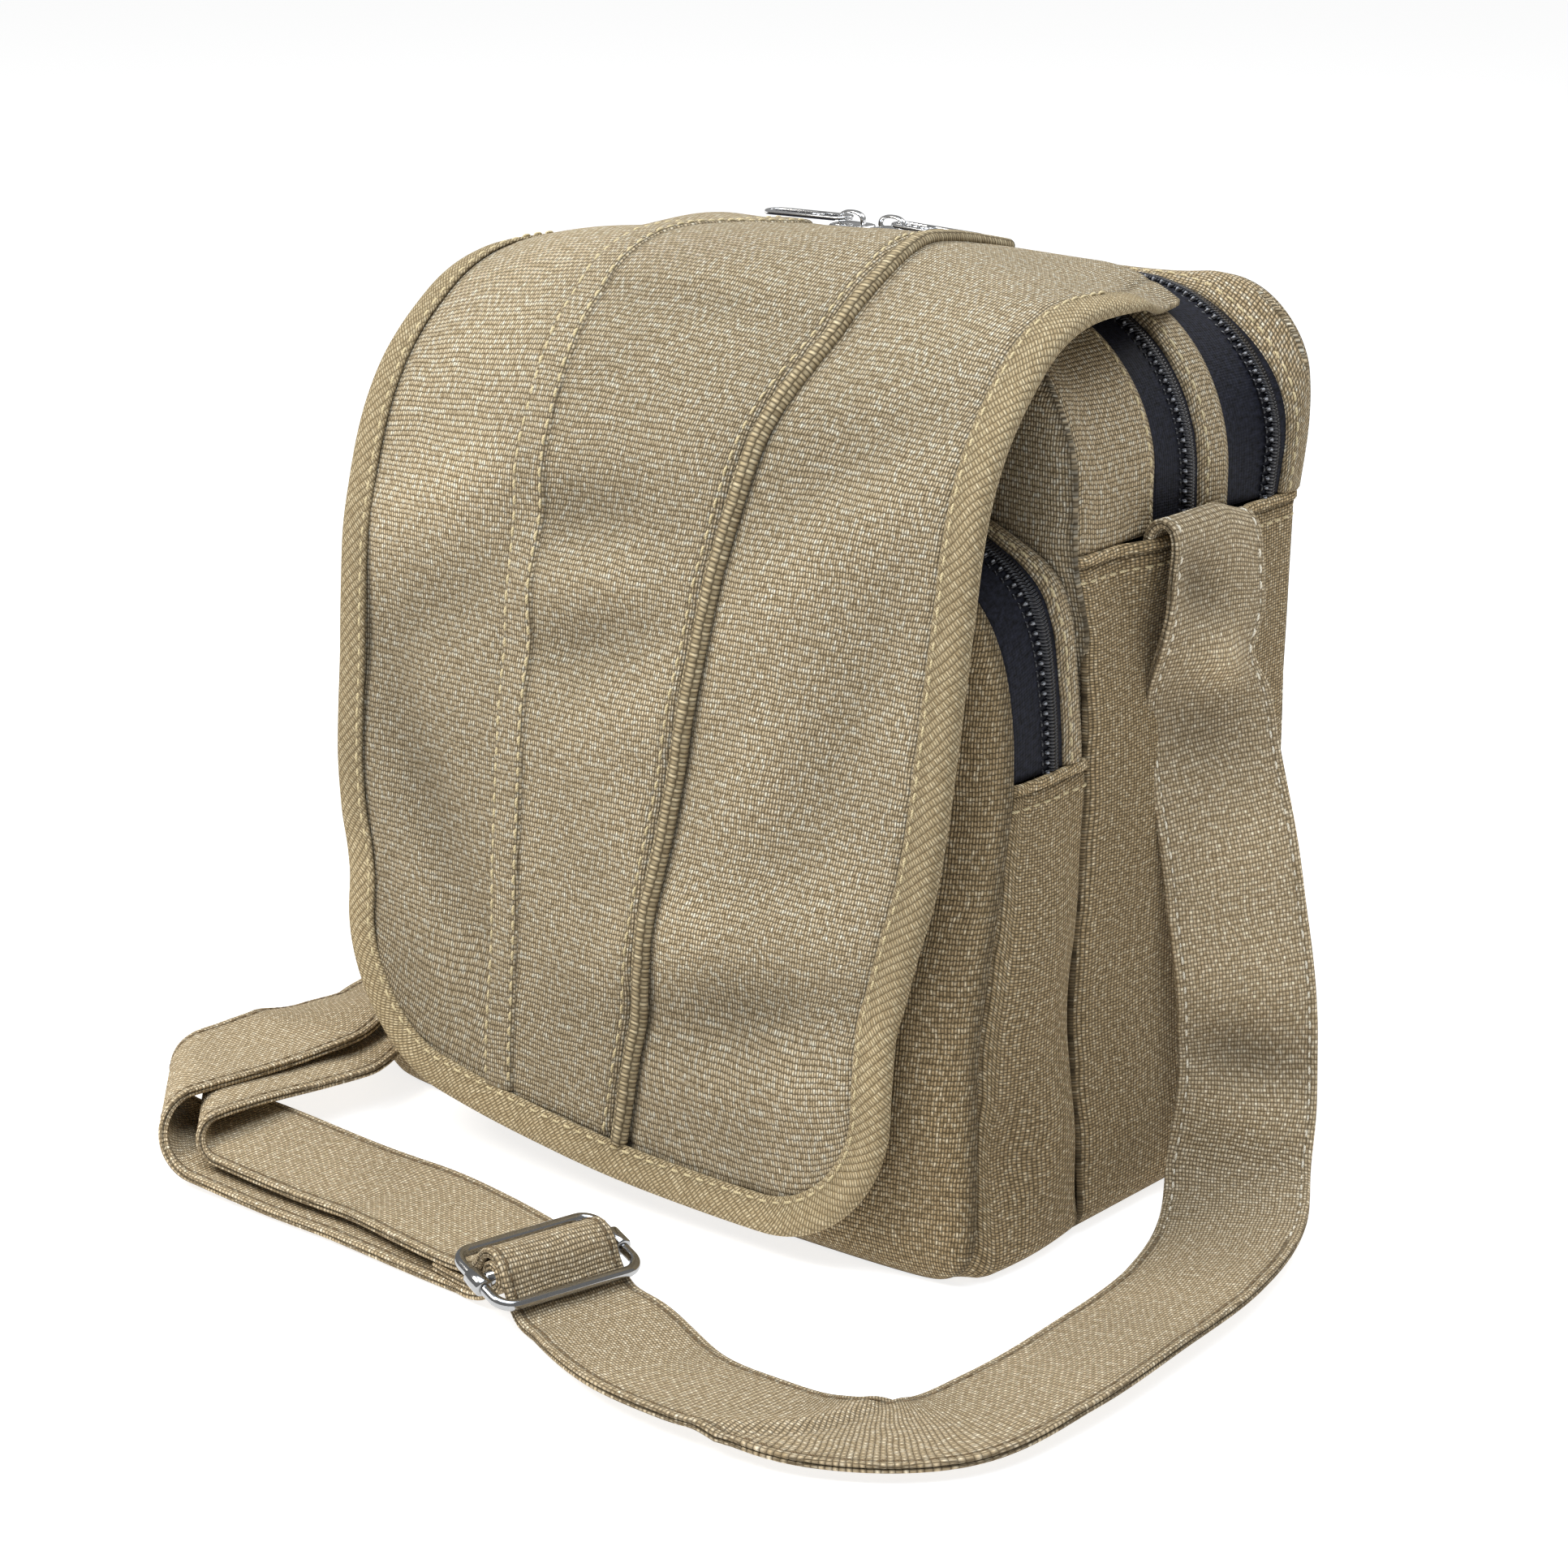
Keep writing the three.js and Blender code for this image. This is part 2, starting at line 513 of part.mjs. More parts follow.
const atSlider = ([e, z]) => ({
  at: SLIDER_AT.clone().addScaledVector(SLIDER_ALONG, e).add(V(0, 0, z)),
  w: SLIDER_ACROSS.clone(),
});

// The diagonal fold at the front left: the strap comes along -x, rolls over a slanting axis and leaves along +y.
const ROLL_AXIS = V(-Math.SQRT1_2, Math.SQRT1_2, 0);
const ROLL_OUT = V(-Math.SQRT1_2, -Math.SQRT1_2, 0);
const ROLL_AT = V(-104, -111, 0);
const ROLL_RADIUS = 9.5;
const ROLL_FLOOR = 6.5;
const rolled = (along, across) => {
  const p = (along - across) * Math.SQRT1_2;
  const q = (along + across) * Math.SQRT1_2;
  const turn = clamp01(q / (Math.PI * ROLL_RADIUS)) * Math.PI;
  const past = Math.max(0, q - Math.PI * ROLL_RADIUS);
  const out = Math.min(0, q) + ROLL_RADIUS * Math.sin(turn) - past;
  const rise = ROLL_RADIUS * (1 - Math.cos(turn)) * (1 - 0.55 * smooth(p / 62));
  return ROLL_AT.clone().addScaledVector(ROLL_AXIS, p).addScaledVector(ROLL_OUT, out)
    .setZ(ROLL_FLOOR + rise);
};
const rollRows = range(16).map((t) => {
  const along = lerp(-60, 66, t);
  const w = rolled(along, 1).sub(rolled(along, -1)).normalize();
  return { at: rolled(along, 0), w, gap: lerp(4.4, 3.2, t) };
});

// The doubled run from the slider to the ring, and its two layers
const spine = [
  { at: V(-18, -116, 5), w: V(-0.2, -0.98, 0), gap: 3 },
  ...rollRows,
  ...STRAP_LEFT.map(([x, y, z, a, b, c, gap]) => ({ at: V(x, y, z), w: V(a, b, c).normalize(), gap })),
];
const layer = (side) => spine.map(({ at, w, gap }, i) => {
  const along = spine[Math.min(i + 1, spine.length - 1)].at.clone().sub(spine[Math.max(i - 1, 0)].at);
  const n = w.clone().cross(along).normalize();
  return { at: at.clone().addScaledVector(n, -side * gap), w: w.clone() };
});

// Round the lower bar of the ring
const RING_BAR = V(-120.8, 52.5, 142);
const ringTurn = range(6).map((t) => {
  const angle = Math.PI * t;
  const reach = WIRE / 2 + 3 * GAP + STRAP_THICK / 2;
  return { at: RING_BAR.clone().add(V(reach * Math.cos(angle), 0, reach * Math.sin(angle))), w: V(0, -1, 0) };
});
const strapRows = [
  ...STRAP_RIGHT.map(([x, y, z, a, b, c]) => ({ at: V(x, y, z), w: V(a, b, c).normalize() })),
  ...OVER_BAR.map(atSlider),
  ...layer(1),
  ...ringTurn,
  ...layer(-1).reverse(),
  ...ROUND_BAR.map(atSlider),
];

// A flat strap along rows: smoothed, with square edges
const strapStations = (rows, step) => {
  const curve = new THREE.CatmullRomCurve3(rows.map(({ at }) => at), false, 'centripetal');
  const across = new THREE.CatmullRomCurve3(rows.map(({ w }) => w), false, 'centripetal');
  const stations = [];
  for (let i = 0; i + 1 < rows.length; i += 1) {
    const count = Math.max(1, Math.round(rows[i].at.distanceTo(rows[i + 1].at) / step));
    for (let k = 0; k < count; k += 1) stations.push((i + k / count) / (rows.length - 1));
  }
  stations.push(1);
  return stations.map((t) => {
    const along = curve.getTangent(t);
    const w = across.getPoint(t);
    const a = w.addScaledVector(along, -w.dot(along)).normalize();
    return { at: curve.getPoint(t), a, b: along.clone().cross(a).normalize() };
  });
};
add('strap', sweep(strapStations(strapRows, 14), box(STRAP_WIDTH / 2, STRAP_THICK / 2)), canvas);

// A loop of wire with rounded corners, in the plane of two directions
const wireLoop = (at, a, b, halfA, halfB, radius) => {
  const places = [];
  [[1, 1, 0], [-1, 1, 1], [-1, -1, 2], [1, -1, 3]].forEach(([i, j, quarter]) => {
    range(3).forEach((t) => {
      const angle = (quarter + t) * Math.PI / 2;
      const p = i * (halfA - radius) + radius * Math.cos(angle);
      const q = j * (halfB - radius) + radius * Math.sin(angle);
      places.push([p, q]);
    });
  });
  const axis = a.clone().cross(b);
  const points = places.map(([p, q]) => at.clone().addScaledVector(a, p).addScaledVector(b, q));
  const count = points.length;
  const stations = points.map((place, i) => {
    const along = points[(i + 1) % count].clone().sub(points[(i + count - 1) % count]);
    return { at: place, a: along.cross(axis).normalize(), b: axis };
  });
  return sweep(stations, circle(WIRE / 2, 8), true);
};

// Manifold solids become meshes.
const fromManifold = (shape) => {
  const mesh = shape.getMesh();
  const geometry = new THREE.BufferGeometry();
  const positions = new Float32Array(mesh.vertProperties);
  geometry.setAttribute('position', new THREE.BufferAttribute(positions, 3));
  geometry.setIndex(new THREE.BufferAttribute(new Uint32Array(mesh.triVerts), 1));
  geometry.computeVertexNormals();
  return geometry;
};
const block = (x, y, z, at) => Manifold.cube([x, y, z], true).translate(at);

// The slider's frame, and its middle bar whose ends wrap the frame
const barReach = STRAP_WIDTH / 2 + 3.6;
const barAt = SLIDER_AT.clone().setZ(BAR_Z);
add('slider_frame', wireLoop(barAt, SLIDER_ALONG, SLIDER_ACROSS, SLIDER_GAP / 2, barReach, 5), chrome);
const hole = WIRE / 2 + GAP;
const collar = Manifold.cylinder(7, hole + 0.9, hole + 0.9, 12, true).rotate([0, 90, 0]);
const bore = Manifold.cylinder(9, hole, hole, 12, true).rotate([0, 90, 0]);
const rod = Manifold.cylinder(2 * barReach, WIRE / 2, WIRE / 2, 12, true).rotate([90, 0, 0]);
const ends = [barReach, -barReach].map((y) => [0, y, 0]);
const bar = ends.reduce((shape, end) => shape.add(collar.translate(end)), rod);
const barShape = ends.reduce((shape, end) => shape.subtract(bore.translate(end)), bar);
const barTurn = Math.atan2(SLIDER_ALONG.y, SLIDER_ALONG.x) * 180 / Math.PI;
const turnedBar = barShape.rotate([0, 0, barTurn]).translate(barAt.toArray());
add('slider_bar', fromManifold(turnedBar), chrome);

// The ring at the left side, and the sewn tab that holds it
const RING_HALF = 11;
const ringAt = RING_BAR.clone().add(V(0, 0, RING_HALF));
add('strap_ring', wireLoop(ringAt, V(0, 0, 1), V(0, 1, 0), RING_HALF, STRAP_WIDTH / 2 + 2.8, 5), chrome);
const TAB_WIDTH = 36;
const tabReach = WIRE / 2 + GAP + CANVAS / 2;
const tabTop = ringAt.z + RING_HALF;
const tabRows = [
  [-115.5, 186], [-116.6, 178], [-120.8 + tabReach, tabTop + 4], [-120.8 + tabReach, tabTop],
  [-120.8 + tabReach * 0.7, tabTop - tabReach * 0.7], [-120.8, tabTop - tabReach],
  [-120.8 - tabReach * 0.7, tabTop - tabReach * 0.7], [-120.8 - tabReach, tabTop], [-123.4, tabTop + 5],
  [-119.9, 178], [-118.1, 186],
].map(([x, z]) => ({ at: V(x, 52.5, z), w: V(0, -1, 0) }));
add('strap_tab', sweep(strapStations(tabRows, 8), box(TAB_WIDTH / 2, CANVAS / 2)), canvas);

// ZIPPER SLIDERS

// A slider is a block with a bridge; a pull is a plate whose end bar turns under the bridge.
const BLOCK = [13, 9.4, 2.4];
const BRIDGE = 2.8;
const sliderShape = () => block(...BLOCK, [0, 0, BLOCK[2] / 2])
  .add(block(8.4, 2.4, BRIDGE + 1.2, [0, 0, BLOCK[2] + (BRIDGE + 1.2) / 2 - 0.2]))
  .subtract(block(5.6, 4, BRIDGE - 0.2, [0, 0, BLOCK[2] + BRIDGE / 2 + 0.1]));
const PULL = [32, 7.6, 1.4];
const pullShape = (side) => block(...PULL, [side * (PULL[0] / 2 - 0.8), 0, 0])
  .subtract(block(7, 4.6, 4, [side * (0.8 + 3.5), 0, 0]))
  .subtract(block(12, 3.4, 4, [side * 19, 0, 0]));
const rearChainY = REAR_ZIP[1] - GAP - CHAIN_WIDTH / 2 - 0.2;
const rearChainTop = (x) => HEIGHT - topSag(x, rearChainY) - TAPE_SINK + 2 * GAP + CHAIN_HEIGHT;
const PULL_DROOP = 6;
[['left', -34, -1], ['right', -19, 1]].forEach(([name, x, side]) => {
  const z = rearChainTop(x) + 1.1;
  add(`rear_slider_${name}`, fromManifold(sliderShape().translate([x, rearChainY, z])), chrome);
  const hinge = [x + side * 1.2, rearChainY, z + BLOCK[2] + 1.5];
  const pull = pullShape(side).rotate([0, side * PULL_DROOP, 0]).translate(hinge);
  add(`rear_pull_${name}`, fromManifold(pull), chrome);
});

// The hidden sliders under the flap are one plain piece each.
const plainSlider = () => block(13, 9.4, 1.6, [0, 0, 0.8]).add(block(22, 6, 1, [-10, 0, 1.7]));
const frontChainY = FRONT_ZIP[1] - GAP - CHAIN_WIDTH / 2 - 0.2;
const frontTop = HEIGHT - TAPE_SINK + 2 * GAP + CHAIN_HEIGHT + 0.4;
add('front_slider', fromManifold(plainSlider().translate([-4, frontChainY, frontTop])), chrome);
const pocketShare = POCKET_ZIP_SHARE + 0.175;
const archTop = lerp(ARCH_REAR[10][1], ARCH_FRONT[10][1], POCKET_ZIP_SHARE);
const pocketTop = archTop + chainFoot + GAP + CHAIN_HEIGHT + 0.4;
const pocketSliderAt = [0, pocketShare * pocketEdge(209), pocketTop];
add('pocket_slider', fromManifold(plainSlider().translate(pocketSliderAt)), chrome);

export default group;
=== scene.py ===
# %% [markdown]
# A canvas shoulder bag, dressed piece by piece. The solids of the bag are already packed in one shared
# frame. They fix every place and size. This lesson puts cloth, thread, zippers and polished wire over them.
# We start by loading the frame.

# %% Load the frame
import math

import bpy
import numpy as np
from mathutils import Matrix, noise


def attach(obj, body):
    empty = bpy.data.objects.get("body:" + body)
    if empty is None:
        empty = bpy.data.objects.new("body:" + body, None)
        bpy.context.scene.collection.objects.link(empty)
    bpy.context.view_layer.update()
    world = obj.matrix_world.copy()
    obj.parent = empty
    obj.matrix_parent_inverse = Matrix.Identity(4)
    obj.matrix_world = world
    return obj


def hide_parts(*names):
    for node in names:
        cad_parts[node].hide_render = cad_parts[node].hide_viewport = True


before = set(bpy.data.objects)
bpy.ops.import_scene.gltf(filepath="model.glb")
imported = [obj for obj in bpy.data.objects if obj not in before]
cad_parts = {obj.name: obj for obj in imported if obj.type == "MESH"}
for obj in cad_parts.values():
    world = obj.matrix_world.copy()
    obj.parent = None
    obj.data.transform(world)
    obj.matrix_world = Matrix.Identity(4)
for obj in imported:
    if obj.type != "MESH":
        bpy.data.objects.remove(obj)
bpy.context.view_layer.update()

# %% [markdown]
# The bag was photographed from its front right corner, from a little above. A camera of the same angle and
# lens comes first, because every later choice is judged through it.

# %% Camera
CAMERA_AT = (0.671, -0.8425, 0.432)
CAMERA_TILT, CAMERA_TURN = math.radians(72.54), math.radians(39.76)
SENSOR_MM, LENS_MM = 36, 88.17

scene = bpy.context.scene
lens = bpy.data.cameras.new("camera")
lens.sensor_width = SENSOR_MM
lens.lens = LENS_MM
lens.clip_start = 0.05
camera = bpy.data.objects.new("camera", lens)
camera.location = CAMERA_AT
camera.rotation_euler = (CAMERA_TILT, 0, CAMERA_TURN)
scene.collection.objects.link(camera)
scene.camera = camera
print("camera at", tuple(round(v, 3) for v in camera.location))

# %% [markdown]
# A studio table: a glowing white floor, a dim surround, wide lamps above and at the front left, and one
# behind. The floor lights the shaded side softly, and the wide lamp lets a weave show without hard black
# lines.

# %% Studio
# Lamps: name, where, what it looks at, size, watts and tint
LAMPS = [
    ("key", (-0.7, -1.05, 1.5), (0, 0, 0.12), 0.8, 28, (1, 0.965, 0.9)),
    ("back", (0.5, 1.2, 1.3), (0, 0, 0.15), 1.0, 9, (1, 1, 1)),
    ("top", (0.25, -0.35, 1.7), (0.02, -0.03, 0), 1.2, 25, (0.83, 0.905, 1)),
]
SURROUND = {"Color": (1, 1, 1, 1), "Strength": 0.3}
PAPER = {"Base Color": (0.45, 0.45, 0.448, 1), "Roughness": 0.9, "Emission Color": (1, 1, 1, 1),
         "Emission Strength": 0.78}
FLOOR_HALF = 15

scene.view_settings.view_transform = "Standard"


def lamp(name, where, aim, size, watts, tint):
    """A square soft lamp that looks at a point."""
    light = bpy.data.lights.new(name, "AREA")
    light.size = size
    light.energy = watts
    light.color = tint
    ob = bpy.data.objects.new(name, light)
    ob.location = where
    away = np.array(where) - np.array(aim)
    flat = math.hypot(away[0], away[1])
    ob.rotation_euler = (math.atan2(flat, away[2]), 0, math.atan2(away[1], away[0]) + math.pi / 2)
    scene.collection.objects.link(ob)


def feed(tree, target, feeds):
    """Link or set the inputs of a shader node, by name or number."""
    for key, value in feeds.items():
        if isinstance(value, bpy.types.NodeSocket):
            tree.links.new(value, target.inputs[key])
        else:
            target.inputs[key].default_value = value


for row in LAMPS:
    lamp(*row)
world = bpy.data.worlds.new("surround")
world.use_nodes = True
feed(world.node_tree, world.node_tree.nodes["Background"], SURROUND)
scene.world = world

ground = bpy.data.meshes.new("floor")
corners = [(a * FLOOR_HALF, b * FLOOR_HALF, 0) for a, b in ((-1, -1), (1, -1), (1, 1), (-1, 1))]
ground.from_pydata(corners, [], [(0, 1, 2, 3)])
floor = bpy.data.objects.new("floor", ground)
scene.collection.objects.link(floor)
paper = bpy.data.materials.new("paper")
paper.use_nodes = True
feed(paper.node_tree, paper.node_tree.nodes["Principled BSDF"], PAPER)
ground.materials.append(paper)
print("lamps and floor stand")

# %% [markdown]
# Cloth is easiest to think of as a grid of points. From one grid we make a closed sheet: a face side, a
# lining side a canvas thickness away, and a soft rounded rim between them. Each point also keeps where it
# lies on the flat cloth, in metres, so that a weave can follow the cloth, and a painted light value, so that
# shade can be painted into seams, folds and dents. The lining side and the rim are painted darker, as shade.

# %% Mesh helpers
MM = 0.001
DEPTH = 105.0
CANVAS = 2.0
GAP = 0.3
RIM_ROUND = 0.3
# Painted shade: the lining side and the rim are painted darker than the face side
LINING_PAINTED_SHADE, RIM_PAINTED_SHADE = 0.8, 0.92
BAG = "bag"


def shared(points):
    """Millimetres from the front panel, as the pattern is drawn, to metres in the shared frame."""
    return (np.asarray(points, float) - (0, DEPTH / 2, 0)) * MM


def unit(v):
    return v / np.maximum(np.linalg.norm(v, axis=-1, keepdims=True), 1e-9)


def smooth(t):
    t = np.clip(t, 0, 1)
    return t * t * (3 - 2 * t)


def bump(t):
    return np.exp(-np.square(t))


def facing(grid):
    """The way each point of a grid faces."""
    return unit(np.cross(np.gradient(grid, axis=0), np.gradient(grid, axis=1)))


def run_along(line):
    """How far along a route each of its points lies."""
    return np.concatenate([[0], np.cumsum(np.linalg.norm(np.diff(line, axis=0), axis=1))])


def laid_flat(grid):
    """Where each point lies on the flat cloth: across and along, in millimetres."""
    across = np.linalg.norm(np.diff(grid, axis=1), axis=2)
    along = np.linalg.norm(np.diff(grid, axis=0), axis=2)
    u = np.concatenate([np.zeros((len(grid), 1)), np.cumsum(across, 1)], 1)
    u -= u[:, -1:] / 2
    v = np.concatenate([[0], np.cumsum(along.mean(1))])
    return u, np.repeat(v[:, None], grid.shape[1], 1)


def piece(name, verts, faces, material, flat=None, painted_light=None, body=BAG, nodes=(), slot=None):
    """A smooth mesh object that rides on a body, with its flat place and painted light and shade kept on its
    points.
    """
    mesh = bpy.data.meshes.new(name)
    mesh.from_pydata(shared(verts).tolist(), [], [list(map(int, f)) for f in faces])
    mesh.polygons.foreach_set("use_smooth", [True] * len(mesh.polygons))
    if flat is not None:
        place = np.zeros((len(verts), 3), np.float32)
        place[:, :2] = np.asarray(flat).reshape(-1, 2) * MM
        mesh.attributes.new("cloth", "FLOAT_VECTOR", "POINT").data.foreach_set("vector", place.ravel())
        shade = np.ones(len(verts), np.float32) if painted_light is None else np.asarray(painted_light, np.float32).ravel()
        mesh.attributes.new("painted_light", "FLOAT", "POINT").data.foreach_set("value", shade)
    mesh.materials.append(material)
    mesh.update()
    ob = bpy.data.objects.new(name, mesh)
    scene.collection.objects.link(ob)
    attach(ob, body)
    if nodes:
        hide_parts(*nodes)
    return ob


def sheet_mesh(grid, thick, normals=None):
    """Points and faces of a closed sheet whose face side is the grid; its rim is rounded."""
    rows, cols = grid.shape[:2]
    n = facing(grid) if normals is None else normals
    back = grid - n * thick
    index = np.arange(rows * cols).reshape(rows, cols)
    ring = np.concatenate([index[0, :-1], index[:-1, -1], index[-1, :0:-1], index[:0:-1, 0]])
    edge = grid.reshape(-1, 3)[ring]
    inside = np.concatenate([index[1, :-1], index[:-1, -2], index[-2, :0:-1], index[:0:-1, 1]])
    out = unit(edge - grid.reshape(-1, 3)[inside])
    mid = edge - n.reshape(-1, 3)[ring] * thick / 2 + out * thick * RIM_ROUND
    verts = np.concatenate([grid.reshape(-1, 3), back.reshape(-1, 3), mid])
    a, b, c, d = index[:-1, :-1], index[:-1, 1:], index[1:, 1:], index[1:, :-1]
    front = np.stack([a, d, c, b], -1).reshape(-1, 4)
    rear = np.stack([a, b, c, d], -1).reshape(-1, 4) + rows * cols
    m = np.arange(len(ring)) + 2 * rows * cols
    nxt = np.roll(np.arange(len(ring)), -1)
    rim_a = np.stack([ring, ring[nxt], m[nxt], m], -1)
    rim_b = np.stack([m, m[nxt], ring[nxt] + rows * cols, ring + rows * cols], -1)
    faces = np.concatenate([front, rear, rim_a, rim_b])
    return verts, faces, ring


def cloth(name, grid, thick, material, painted_light=None, normals=None, **more):
    """A closed sheet of cloth, with its weave lined up with the grid."""
    verts, faces, ring = sheet_mesh(grid, thick, normals)
    u, v = laid_flat(grid)
    flat = np.stack([u, v], -1).reshape(-1, 2)
    shade = np.ones(len(flat)) if painted_light is None else np.asarray(painted_light).reshape(-1)
    flat = np.concatenate([flat, flat, flat[ring]])
    shade = np.concatenate([shade, shade * LINING_PAINTED_SHADE, shade[ring] * RIM_PAINTED_SHADE])
    return piece(name, verts, faces, material, flat, shade, **more)


def tube_faces(rows, size, closed=False):
    """Faces of a tube from rows of points: joined into a ring, or capped at both ends."""
    index = np.arange(rows * size).reshape(rows, size)
    here, after = (index, np.roll(index, -1, 0)) if closed else (index[:-1], index[1:])
    sides = np.stack([here, np.roll(here, -1, 1), np.roll(after, -1, 1), after], -1).reshape(-1, 4).tolist()
    return sides if closed else sides + [index[0][::-1].tolist(), index[-1].tolist()]


def carried(at, a, b, profile, closed=False):
    """A profile carried along places, each with two directions: points, faces and flat places."""
    profile = np.asarray(profile, float)
    verts = at[:, None] + a[:, None] * profile[None, :, :1] + b[:, None] * profile[None, :, 1:]
    flat = np.stack(np.broadcast_arrays(run_along(profile)[None], run_along(at)[:, None]), -1)
    return verts.reshape(-1, 3), tube_faces(len(at), len(profile), closed), flat.reshape(-1, 2)


def outward(verts, faces):
    """Turn the faces of a closed mesh outward."""
    total = 0.0
    for f in faces:
        p = verts[list(f)]
        for k in range(1, len(f) - 1):
            total += np.dot(p[0], np.cross(p[k], p[k + 1]))
    return faces if total > 0 else [list(f)[::-1] for f in faces]


def tube_mesh(verts, flat):
    """Points, outward faces and flat places of a capped tube from rows of points."""
    faces = tube_faces(*verts.shape[:2])
    verts = verts.reshape(-1, 3)
    return verts, outward(verts, faces), flat.reshape(-1, 2)


print("mesh helpers ready")

# %% [markdown]
# The pattern is drawn with short tables: a key, then values. A soft bag has no corners in its lines, so the
# tables are read with a curve that passes every row and never overshoots. Routes in space go through their
# points the same way, and are then walked at even steps.

# %% Reading the pattern
def read(rows, keys):
    """Read a table smoothly at any keys: the first column is the key, the others are values."""
    table = np.asarray(rows, float)
    keys = np.asarray(keys, float)
    k, v = table[:, 0], table[:, 1:]
    step = np.diff(k)
    slope = np.diff(v, axis=0) / step[:, None]
    bend = np.zeros_like(v)
    product = slope[:-1] * slope[1:]
    total = slope[:-1] + slope[1:]
    bend[1:-1] = np.where(product > 0, 2 * product / np.where(np.abs(total) > 1e-9, total, 1), 0)
    bend[0], bend[-1] = slope[0], slope[-1]
    i = np.clip(np.searchsorted(k, keys) - 1, 0, len(step) - 1)
    t = np.clip((keys - k[i]) / step[i], 0, 1)[..., None]
    h = step[i][..., None]
    start = (2 * t**3 - 3 * t**2 + 1) * v[i] + (t**3 - 2 * t**2 + t) * h * bend[i]
    return start + (3 * t**2 - 2 * t**3) * v[i + 1] + (t**3 - t**2) * h * bend[i + 1]


def through(points, per=12):
    """A smooth route through points in space."""
    p = np.asarray(points, float)
    p = np.concatenate([[2 * p[0] - p[1]], p, [2 * p[-1] - p[-2]]])
    t = np.linspace(0, 1, per, endpoint=False)[:, None]
    out = []
    for p0, p1, p2, p3 in zip(p, p[1:], p[2:], p[3:]):
        d0, d1, d2 = (max(np.linalg.norm(b - a), 1e-8) ** 0.5 for a, b in ((p0, p1), (p1, p2), (p2, p3)))
        m1 = ((p1 - p0) / d0 - (p2 - p0) / (d0 + d1) + (p2 - p1) / d1) * d1
        m2 = ((p2 - p1) / d1 - (p3 - p1) / (d1 + d2) + (p3 - p2) / d2) * d1
        base = (2 * t**3 - 3 * t**2 + 1) * p1 + (t**3 - 2 * t**2 + t) * m1
        out.append(base + (3 * t**2 - 2 * t**3) * p2 + (t**3 - t**2) * m2)
    return np.concatenate([*out, p[-2:-1]])


def walked(values, run, goal):
    """Values kept along a route, read at other places along it."""
    return np.stack([np.interp(goal, run, c) for c in np.asarray(values, float).T], -1)


def spread(points, count, *others):
    """The same route at even steps; other values along it are walked the same way."""
    run = run_along(np.asarray(points, float))
    goal = np.linspace(0, run[-1], count)
    made = [walked(values, run, goal) for values in (points, *others)]
    return made if others else made[0]


def both_sides(right):
    """A half outline that ends on the middle, with its mirror image."""
    right = np.asarray(right, float)
    return np.concatenate([right, (right[:-1] * (-1, 1, 1))[::-1]])


print("a table reads:", read([[0, 0], [10, 5]], np.array([4.0]))[0])

# %% [markdown]
# Canvas is a plain weave of thick slubby yarn: over one, under one. Two sine waves multiplied give exactly
# that chequer of little lumps; their sign says which yarn is on top. One set of yarns stands higher than
# the other, and some lumps are pale and some dull. The gaps between the yarns and the lower yarns are
# painted darker as shade, and broad patches of painted light and shade stand in for soft folds. The
# binding is the same cloth cut on the slant.

# %% Canvas finish
WANDER_SCALE, WANDER = 60.0, 0.0022
NARROW, BROAD, LOW_YARN = 0.85, 0.35, 0.62
SLUB_SCALE, SLUB_HEIGHT = 0.62, 0.45
# Broad patches of painted light and shade, standing in for soft folds
SHADE_PATCH_SCALE, SHADE_PATCHES = 14.0, (0.8, 1.2)
YARN_RELIEF = 0.0007
CANVAS_LOOK = {"Roughness": 0.9, "Sheen Weight": 0.16, "Sheen Tint": (1, 0.8, 0.5, 1), "Sheen Roughness": 0.5,
               "Specular IOR Level": 0.22}


def finish(name):
    """A new material: itself, its nodes and its main shader."""
    material = bpy.data.materials.new(name)
    material.use_nodes = True
    return material, material.node_tree, material.node_tree.nodes["Principled BSDF"]


def node(tree, kind, feeds=None, **settings):
    """Add a node with its settings, then feed it."""
    made = tree.nodes.new(kind)
    for key, value in settings.items():
        setattr(made, key, value)
    feed(tree, made, feeds or {})
    return made


def maths(tree, operation, a, b=0.0):
    return node(tree, "ShaderNodeMath", {0: a, 1: b}, operation=operation).outputs[0]


def vectors(tree, operation, a, b):
    return node(tree, "ShaderNodeVectorMath", {0: a, 1: b}, operation=operation).outputs[0]


def blend(tree, share, a, b):
    """One colour going over into another."""
    return node(tree, "ShaderNodeMix", {0: share, 6: a, 7: b}, data_type="RGBA").outputs[2]


def ramp(tree, value, *stops):
    """Colours at places along a value."""
    made = node(tree, "ShaderNodeValToRGB", {0: value})
    band = made.color_ramp.elements
    while len(band) < len(stops):
        band.new(0.5)
    for element, (place, colour) in zip(band, stops):
        element.position = place
        element.color = (*colour, 1)
    return made.outputs[0]


def grey(tree, value, low, high):
    """A value from 0 to 1 moved to a range."""
    return node(tree, "ShaderNodeMapRange", {0: value, 3: low, 4: high}).outputs[0]


def dimmed(tree, colour, share):
    """A colour times a value."""
    return node(tree, "ShaderNodeVectorMath", {0: colour, "Scale": share}, operation="SCALE").outputs[0]


def speckle(tree, scale, detail, **place):
    """Soft noise from 0 to 1."""
    return node(tree, "ShaderNodeTexNoise", {"Scale": scale, "Detail": detail, **place}).outputs["Fac"]


def relief(tree, height, strength, distance):
    """A normal bent by a height, for what is too fine to model."""
    feeds = {"Height": height, "Strength": strength, "Distance": distance}
    return node(tree, "ShaderNodeBump", feeds).outputs[0]


